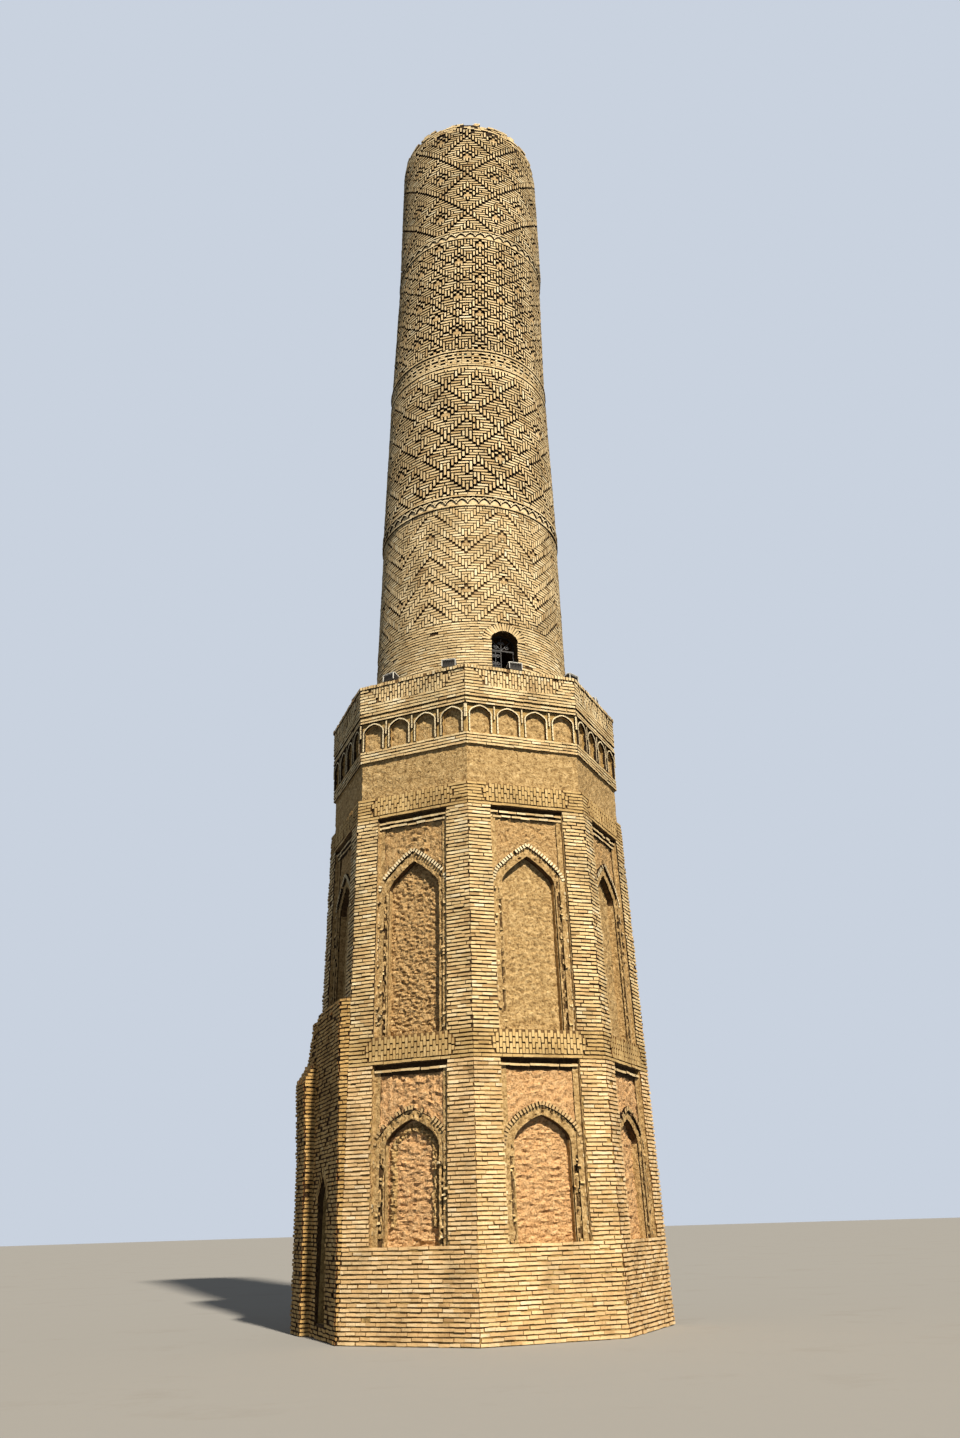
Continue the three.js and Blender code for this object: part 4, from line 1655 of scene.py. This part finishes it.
@dataclass
class Gallery:
    """Plaster collar, arcade, parapet and coping."""

    radius: float = 3.83
    step: float = 0.03
    collar: float = 3.78
    foot: float = 12.83
    string_course: float = 13.935
    walk_course: float = 14.03
    walk: float = 14.10
    parapet_top: float = 14.86
    parapet_thick: float = 0.35
    coping_radius: float = 3.905
    coping_middle: float = 14.905
    pitch: float = 0.735
    bays: int = 4
    bay: PointedArch = PointedArch(0.27, 13.62, 13.845)
    bay_foot: float = 13.15
    bay_depth: float = 0.09
    rib: float = 0.034
    rib_proud: float = 0.06
    seed: int = 31

    def dress(self) -> None:
        """Lays all the gallery's courses and coats."""
        work = Brickwork("gallery_bricks", BUFF_BRICK, "brick", self.seed)
        ribs = Brickwork("arcade_ribs", PALE_BRICK, "brick", self.seed + 1, 0.002)
        coats = []
        for face in range(FACES):
            wall = octagon_side(face, self.radius)
            edge = wall.half_width(0.0) + CORNER_LAP
            for row in range(4):
                z = self.foot + (row + 0.5) * 0.08
                work.course(wall, z, -edge, edge, BOND * (row % 2), tall=0.056, proud=PROUD + 0.01)
            upper = octagon_side(face, self.radius + self.step)
            end = upper.half_width(0.0) + CORNER_LAP
            work.course(upper, self.walk_course, -end, end, 0.05, bed=-0.01)
            for bay in range(self.bays):
                centre = (bay - (self.bays - 1) / 2) * self.pitch
                self.dress_bay(ribs, wall, centre)
                coats.append(self.bay_coat(wall, centre))
            # Thin uprights stand between the bays, under a string course.
            for pier in range(self.bays + 1):
                for part in range(3):
                    z = self.bay_foot + 0.37 + (part + 0.5) * 0.12
                    ribs.lay(wall, (pier - self.bays / 2) * self.pitch, z, self.rib, 0.118, self.rib_proud,
                             tone=0.85)
            ribs.course(wall, self.string_course, -edge, edge, proud=0.075, tall=0.045)
        band = Band(self.walk, self.parapet_top, panel_low=14.41, halves=(0.92, 1.08, 1.24), radius=3.875,
                    draw=0.0, bed=0.0, pitch=0.08, joint=0.024)
        for face in range(FACES):
            band.dress(work, face)
            self.dress_parapet(work, face)
        work.build()
        ribs.build()
        sheet_piece("arcade_plaster", STRAW_PLASTER, coats, 0.008)
        sheet_piece("collar_plaster", STRAW_PLASTER, [self.collar_coat()], 0.01)

    def dress_bay(self, ribs: Brickwork, wall: FlatWall, centre: float) -> None:
        """Lays the thin rib round one bay of the arcade.

        Args:
            ribs: The brickwork of the ribs.
            wall: The side's wall.
            centre: The bay's middle.
        """
        arch_ring(ribs, wall, self.bay, (0.0, self.rib), 0.09, 0.002, self.rib_proud, centre=centre, tone=0.9)
        parts = 5
        for side in (-1, 1):
            for k in range(parts):
                z = self.bay_foot + (k + 0.5) * (self.bay.spring - self.bay_foot) / parts
                ribs.lay(wall, centre + side * (self.bay.half + 0.016), z, self.rib, 0.092, self.rib_proud,
                         tone=0.9)

    def bay_coat(self, wall: FlatWall, centre: float) -> Coat:
        """Gives the plaster coat at the back of one bay.

        Args:
            wall: The side's wall.
            centre: The bay's middle.

        Returns:
            The coat.
        """

        def place(across: float, up: float) -> Point:
            """Gives a point of the coat.

            Args:
                across: Share of its width.
                up: Share of its height.

            Returns:
                The point.
            """
            along = centre + (across - 0.5) * 2 * (self.bay.half + 0.01)
            z = self.bay_foot + (self.bay.apex - self.bay_foot) * up
            relief = 0.025 + lumps(wall.spot(along, z), 0.09, 0.04, 2.0)
            return wall.spot(along, z, relief - self.bay_depth)

        return place, 12, 16

    def collar_coat(self) -> Coat:
        """Gives the plaster coat that goes once round the collar.

        Returns:
            The coat.
        """

        def place(across: float, up: float) -> Point:
            """Gives a point of the coat, which starts and ends at the same corner.

            Args:
                across: Share of its width.
                up: Share of its height.

            Returns:
                The point.
            """
            turn = min(across * FACES, FACES - 1e-9)
            face = int(turn)
            wall = octagon_side((face + 4) % FACES, self.collar)
            z = BASE_TOP + (self.foot - BASE_TOP) * up
            flat = wall.spot((turn - face - 0.5) * 2 * wall.half_width(0.0), z)
            relief = 0.022 + lumps(flat, 0.11, 0.02) + lumps(flat, 0.7, 0.02, 3.0)
            return flat * np.array([1 + relief / self.collar, 1 + relief / self.collar, 1.0])

        return place, 56 * FACES, 24

    def dress_parapet(self, work: Brickwork, face: int) -> None:
        """Lays the courses on the parapet's inner side and the bricks on edge along the coping.

        Args:
            work: The brickwork they join.
            face: The side's number.
        """
        inner = self.radius * FLAT - self.parapet_thick
        wall = FlatWall(-90 + 45 * face + 180.0, -inner)
        edge = inner * HALF_SIDE
        for row in range(8):
            work.course(wall, self.walk + (row + 0.5) * 0.094, -edge, edge, BOND * (row % 2))
        wall = octagon_side(face, self.coping_radius)
        edge = wall.half_width(0.0)
        count = int(2 * edge / 0.08)
        for i in range(count):
            along = -edge + (i + 0.5) * 2 * edge / count
            if work.chance.random() > 0.03:
                height = self.coping_middle + 0.004 * work.chance.normal()
                work.lay(wall, along, height, 0.064, 0.085, 0.028)


@dataclass
class ShaftFoot:
    """The plain stretch of the shaft over the gallery, with the gallery's doorway."""

    door: PointedArch = PointedArch(0.365, 16.30, 16.57)
    sill: float = 14.30
    ring: float = 0.25
    course: float = 0.078
    seed: int = 61

    def dress(self) -> None:
        """Lays the courses round the doorway and the ring of bricks over it."""
        wall = SHAFT["shaft_foot"]
        work = Brickwork("shaft_foot_bricks", PALE_BRICK, "brick", self.seed)
        rows = round((wall.z1 - wall.z0) / self.course)
        half = wall.girth / 2
        for row in range(rows):
            z = wall.z0 + (row + 0.5) * (wall.z1 - wall.z0) / rows
            shift = BOND * (row % 2) + 0.02 * work.chance.normal()
            gap = self.door.gap(z, self.sill, self.ring)
            work.open_course(wall, z, (-half, half), gap, shift, 0.002, tall=0.055)
        arch_ring(work, wall, self.door, (0.012, self.ring), 0.072, 0.014, PROUD + 0.008)
        work.build()


@dataclass
class DoorIronwork:
    """Scrolls of round bar in the gallery door's leaf and in the light over its transom."""

    bar: float = 0.006
    plane: float = -2.37
    left: float = -0.30
    right: float = -0.027
    low: float = 14.336
    high: float = 16.08
    panels: int = 4
    transom: float = 16.15

    def dress(self) -> None:
        """Models the scrolls."""
        name = "door_scrolls"
        curve = bpy.data.curves.new(name, "CURVE")
        curve.dimensions = "3D"
        curve.bevel_depth = self.bar
        curve.bevel_resolution = 1
        curve.use_fill_caps = True
        tall = (self.high - self.low) / self.panels
        middle = (self.left + self.right) / 2
        for panel in range(self.panels):
            z = self.low + (panel + 0.5) * tall
            for across in (-1, 1):
                for up in (-1, 1):
                    self.scroll(curve, middle + across * 0.066, z + up * tall * 0.24, 0.058, across, up)
            self.rod(curve, (middle, z - tall / 2), (middle, z + tall / 2))
        for across in (-1, 1):
            self.scroll(curve, across * 0.16, self.transom + 0.09, 0.07, across, 1)
            self.scroll(curve, across * 0.05, self.transom + 0.22, 0.045, across, -1)
        for end in ((0.0, 16.5), (-0.25, 16.42), (0.25, 16.42)):
            self.rod(curve, (0.0, self.transom), end)
        stand_in = add_object(f"{name}_curve", curve)
        bpy.context.view_layer.update()
        mesh = bpy.data.meshes.new_from_object(stand_in.evaluated_get(bpy.context.evaluated_depsgraph_get()))
        bpy.data.objects.remove(stand_in)
        mesh.materials.clear()
        mesh.name = name
        add_piece(name, mesh, DUSTY_IRON, "iron")

    def scroll(self, curve: bpy.types.Curve, x: float, z: float, radius: float, across: int, up: int) -> None:
        """Adds a spiral of a turn and three quarters.

        Args:
            curve: The curve it joins.
            x: Its middle across the door.
            z: Its middle height.
            radius: Its size.
            across: -1 or 1, the way that it opens.
            up: -1 or 1, the way that it winds.
        """
        count = 22
        spline = curve.splines.new("POLY")
        spline.points.add(count - 1)
        for i, point in enumerate(spline.points):
            share = i / (count - 1)
            reach = radius * (1.0 - 0.78 * share)
            angle = share * 3.4 * math.pi
            right, rise = across * reach * math.cos(angle), up * reach * math.sin(angle)
            point.co = (x + right, self.plane, z + rise, 1.0)

    def rod(self, curve: bpy.types.Curve, start: tuple[float, float], end: tuple[float, float]) -> None:
        """Adds a straight bar.

        Args:
            curve: The curve it joins.
            start: Where it starts, across and up the door.
            end: Where it ends.
        """
        spline = curve.splines.new("POLY")
        spline.points.add(1)
        for point, (x, z) in zip(spline.points, (start, end)):
            point.co = (x, self.plane, z, 1.0)


@dataclass
class Floodlights:
    """Rims, glass and fins of the lamps on the coping."""

    count: int = 12
    seen: int = 6
    first: float = -85.0
    pitch: float = 28.0
    apothem: float = 3.40
    stand: float = 14.95
    width: float = 0.34
    front: float = 0.088
    fins: int = 7
    fin_pitch: float = 0.042

    def places(self) -> list[Matrix]:
        """Frames of the lamps, with X out of the gallery, Y up and Z along the parapet.

        Returns:
            A matrix for each lamp.
        """
        made = []
        rest = (360 - self.pitch * (self.seen - 1)) / (self.count - self.seen + 1)
        for i in range(self.count):
            angle = self.first + self.pitch * min(i, self.seen - 1) + rest * max(0, i - self.seen + 1)
            a = math.radians(angle - 90)
            out, up = Vector((math.cos(a), math.sin(a), 0)), Vector((0, 0, 1))
            off = math.radians(angle - 45 * round(angle / 45))
            spot = out * (self.apothem / math.cos(off)) + up * self.stand
            basis = Matrix((out, up, out.cross(up))).transposed().to_4x4()
            made.append(Matrix.Translation(spot) @ basis)
        return made

    def dress(self) -> None:
        """Models the parts of all the lamps as three pieces."""
        rims, glass, fins = bmesh.new(), bmesh.new(), bmesh.new()
        # The lens lies in the lamp's sloping top, from its high front to its low back.
        front, back = Vector((0.04, 0.30, 0.0)), Vector((-0.14, 0.23, 0.0))
        slope = (front - back).normalized()
        away = Vector((-slope.y, slope.x, 0.0))
        tilt = Matrix((slope, away, Vector((0, 0, 1)))).transposed().to_4x4()
        reach = (front - back).length
        wide = self.width + 0.016
        for place in self.places():
            lens = place @ Matrix.Translation((front + back) / 2) @ tilt
            self.block(glass, lens, (0, 0.006, 0), (reach - 0.03, 0.012, self.width - 0.03))
            for side in (-1, 1):
                self.block(rims, lens, (side * (reach / 2 - 0.008), 0.010, 0), (0.022, 0.028, wide))
                self.block(rims, lens, (0, 0.010, side * (self.width / 2 - 0.004)), (reach, 0.028, 0.022))
            for k in range(self.fins):
                along = (k - (self.fins - 1) / 2) * self.fin_pitch
                self.block(fins, place, (self.front, 0.19, along), (0.02, 0.15, 0.008))
            self.block(rims, place, (self.front, 0.29, 0), (0.03, 0.02, wide))
            for side in (-1, 1):
                self.block(fins, place, (0.0, 0.12, side * (self.width / 2 + 0.012)), (0.03, 0.2, 0.01))
                self.block(rims, place, (self.front, 0.2, side * self.width / 2), (0.03, 0.18, 0.018))
        for name, shape, finish in (("floodlight_rims", rims, LAMP_RIM),
                                    ("floodlight_glass", glass, LAMP_GLASS),
                                    ("floodlight_fins", fins, LAMP_PAINT)):
            add_piece(name, as_mesh(name, shape), finish, "lamp")

    @staticmethod
    def block(mesh: bmesh.types.BMesh, place: Matrix, middle: tuple[float, float, float],
              size: tuple[float, float, float]) -> None:
        """Adds a small block with eased edges.

        Args:
            mesh: The mesh it joins.
            place: The frame it is placed in.
            middle: Its middle.
            size: Its size.
        """
        made = bmesh.ops.create_cube(mesh, size=1.0)
        bmesh.ops.scale(mesh, vec=size, verts=made["verts"])
        bmesh.ops.translate(mesh, vec=middle, verts=made["verts"])
        bmesh.ops.transform(mesh, matrix=place, verts=made["verts"])
        edges = list({e for v in made["verts"] for e in v.link_edges})
        bmesh.ops.bevel(mesh, geom=edges, offset=min(size) * 0.2, offset_type="OFFSET", affect="EDGES",
                        segments=1, profile=0.5, material=-1)


@dataclass
class BrokenRim:
    """Loose and half-bedded bricks along the worn top of the shaft."""

    seed: int = 81
    rings: int = 4
    courses: int = 3

    def dress(self) -> None:
        """Lays loose bricks over the wall's top, then the flat courses left over the pattern."""
        wall = SHAFT["shaft_zone_1"]
        # The loose bricks' tops show, so they are nearly spared the painted joint shade.
        work = Brickwork("broken_rim_bricks", PALE_BRICK, "pale_brick", self.seed, 0.008, unshaded_top=0.97)
        for ring in range(self.rings):
            depth = -0.10 - 0.21 * ring
            count = int(2 * math.pi * (wall.r1 + depth) / 0.25)
            for i in range(count):
                along = (i + 0.5 * (ring % 2)) / count * wall.girth
                top = rim_height(along / wall.middle) - (0.06 if ring > 2 else 0.0)
                if work.chance.random() < 0.55:
                    work.lay(wall, along, top + 0.012, 0.22, 0.06, depth + 0.1, depth - 0.06)
                    if work.chance.random() < 0.3:
                        work.lay(wall, along + 0.05, top + 0.085, 0.2, 0.058, depth + 0.08, depth - 0.05)
        self.outer_courses(work, wall)
        work.build()

    def outer_courses(self, work: Brickwork, wall: RoundWall) -> None:
        """Lays the flat courses that are left over the pattern, ragged along their top.

        Args:
            work: The brickwork they join.
            wall: The shaft's wall.
        """
        pitch = BRICK_LONG + HEAD_JOINT
        count = round(wall.girth / pitch)
        for row in range(-self.courses - 3, self.courses + 2):
            z = wall.z1 + (row - 0.5) * COURSE
            for i in range(count):
                along = (i + 0.5 * (row % 2)) * wall.girth / count
                under = rim_height(along / wall.middle) - z
                if 0.0 < under < (self.courses + 0.3) * COURSE and work.chance.random() > 0.04:
                    reach = work.chance.uniform(0.0, 0.02)
                    work.lay(wall, along, z, pitch - 0.01, BRICK_TALL, 0.02 + reach)


def dress_nodes() -> None:
    """Gives the solids that show their finishes: mortar behind bricks, iron, lamp paint and plaster."""
    for name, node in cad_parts.items():
        finish = next(made for start, made in NODE_FINISHES.items() if name.startswith(start))
        node.data.materials.clear()
        node.data.materials.append(finish.material())


@dataclass
class Studio:
    """Pale floor, soft light and the camera."""

    position: tuple[float, float, float] = (-9.979, -27.401, 2.185)
    azimuth: float = 69.576
    pitch: float = 23.994
    roll: float = -1.722
    focal_px: float = 1135.16
    width_px: float = 960.0
    sun_turn: float = 3.0
    sun_height: float = 43.0
    sun_strength: float = 6.6
    sun_width: float = 2.5
    surround_strength: float = 0.3
    dome_radius: float = 420.0
    floor_radius: float = 400.0

    def build(self) -> None:
        """Makes the floor, the backdrop, the lights and the camera."""
        self.floor()
        self.backdrop()
        self.lights()
        self.camera()

    def floor(self) -> None:
        """Makes the floor."""
        mesh = bmesh.new()
        bmesh.ops.create_circle(mesh, cap_ends=True, segments=64, radius=self.floor_radius)
        bmesh.ops.translate(mesh, vec=(0, 0, -0.002), verts=mesh.verts)
        data = as_mesh("studio_floor", mesh)
        data.materials.append(STUDIO_FLOOR.material())
        floor = add_object("studio_floor", data)
        # The floor throws no light up, so the undersides of the bricks stay as dark as they are outdoors.
        floor.visible_diffuse = False

    def backdrop(self) -> None:
        """Makes the pale backdrop, a glowing dome that only shows and neither lights nor shades."""
        mesh = bmesh.new()
        bmesh.ops.create_uvsphere(mesh, u_segments=48, v_segments=24, radius=self.dome_radius)
        # Blue-grey paper, lit evenly from behind, so the eye sees one flat tone.
        paper = bpy.data.materials.new("backdrop_paper")
        paper.use_nodes = True
        shader = paper.node_tree.nodes["Principled BSDF"]
        shader.inputs["Base Color"].default_value = linear("000000")
        shader.inputs["Specular IOR Level"].default_value = 0.0
        shader.inputs["Emission Color"].default_value = linear("c9d2df")
        shader.inputs["Emission Strength"].default_value = 1.0
        data = as_mesh("studio_backdrop", mesh)
        data.materials.append(paper)
        dome = add_object("studio_backdrop", data)
        for ray in ("visible_diffuse", "visible_glossy", "visible_transmission", "visible_shadow"):
            setattr(dome, ray, False)

    def lights(self) -> None:
        """Makes the pale surround and one broad key light from the right."""
        world = bpy.data.worlds.new("studio")
        world.use_nodes = True
        background = world.node_tree.nodes["Background"]
        background.inputs["Color"].default_value = linear("dfe6ee")
        background.inputs["Strength"].default_value = self.surround_strength
        bpy.context.scene.world = world
        bpy.context.scene.view_settings.view_transform = "Standard"
        key = bpy.data.lights.new("key_light", "SUN")
        key.energy = self.sun_strength
        key.angle = math.radians(self.sun_width)
        key.color = linear("fff5e4")[:3]
        towards = self.towards(self.sun_turn - 90, self.sun_height)
        holder = add_object("key_light", key)
        holder.rotation_euler = towards.to_track_quat("Z", "Y").to_euler()
        holder.location = towards * 60

    def camera(self) -> None:
        """Makes the camera at the photograph's place and angle."""
        data = bpy.data.cameras.new("camera")
        data.sensor_fit = "HORIZONTAL"
        data.sensor_width = 36.0
        data.lens = self.focal_px / self.width_px * data.sensor_width
        data.clip_end = 1000.0
        look = self.towards(self.azimuth, self.pitch).to_track_quat("-Z", "Y").to_matrix().to_4x4()
        roll = Matrix.Rotation(math.radians(self.roll), 4, "Z")
        camera = add_object("camera", data)
        camera.matrix_world = Matrix.Translation(self.position) @ look @ roll
        bpy.context.scene.camera = camera

    @staticmethod
    def towards(turn: float, height: float) -> Vector:
        """A unit step that way, by its degrees round from +X and up from level."""
        a, h = math.radians(turn), math.radians(height)
        return Vector((math.cos(a) * math.cos(h), math.sin(a) * math.cos(h), math.sin(h)))


def dress_shaft() -> None:
    """Lays the shaft from its foot to its rim."""
    ShaftFoot().dress()
    PatternedZone("shaft_zone_4", Weave.CHEVRONS, 8, 12, 0.0824, 101, start=6, shift=-0.02, hole=0.05,
                  strong_hole=0.07, relief=0.034, share=0.72).dress()
    ScallopBand("shaft_band_3", 52, 51).dress()
    PatternedZone("shaft_zone_3", Weave.LOZENGES, 5, 15, 0.1, 102, start=15, shift=-0.02, tall=16,
                  folds=(6, 9.5), share=0.58).dress()
    MeanderRing().dress()
    PatternedZone("shaft_zone_2", Weave.LOZENGES, 11, 7, 0.1043, 103, start=8, shift=0.16,
                  folds=(3.5, 4)).dress()
    ScallopBand("shaft_band_1", 47, 53).dress()
    PatternedZone("shaft_zone_1", Weave.LOZENGES, 8, 9, 0.1, 104, start=8, worn_top=True,
                  strong_hole=0.085).dress()
    BrokenRim().dress()


def main() -> None:
    """Dresses the minaret from the ground up."""
    logging.basicConfig(level=logging.INFO, format="%(name)s %(message)s")
    Studio().build()
    dress_nodes()
    Base().dress()
    Entrance().dress()
    Gallery().dress()
    dress_shaft()
    DoorIronwork().dress()
    Floodlights().dress()


if __name__ == "__main__":
    main()
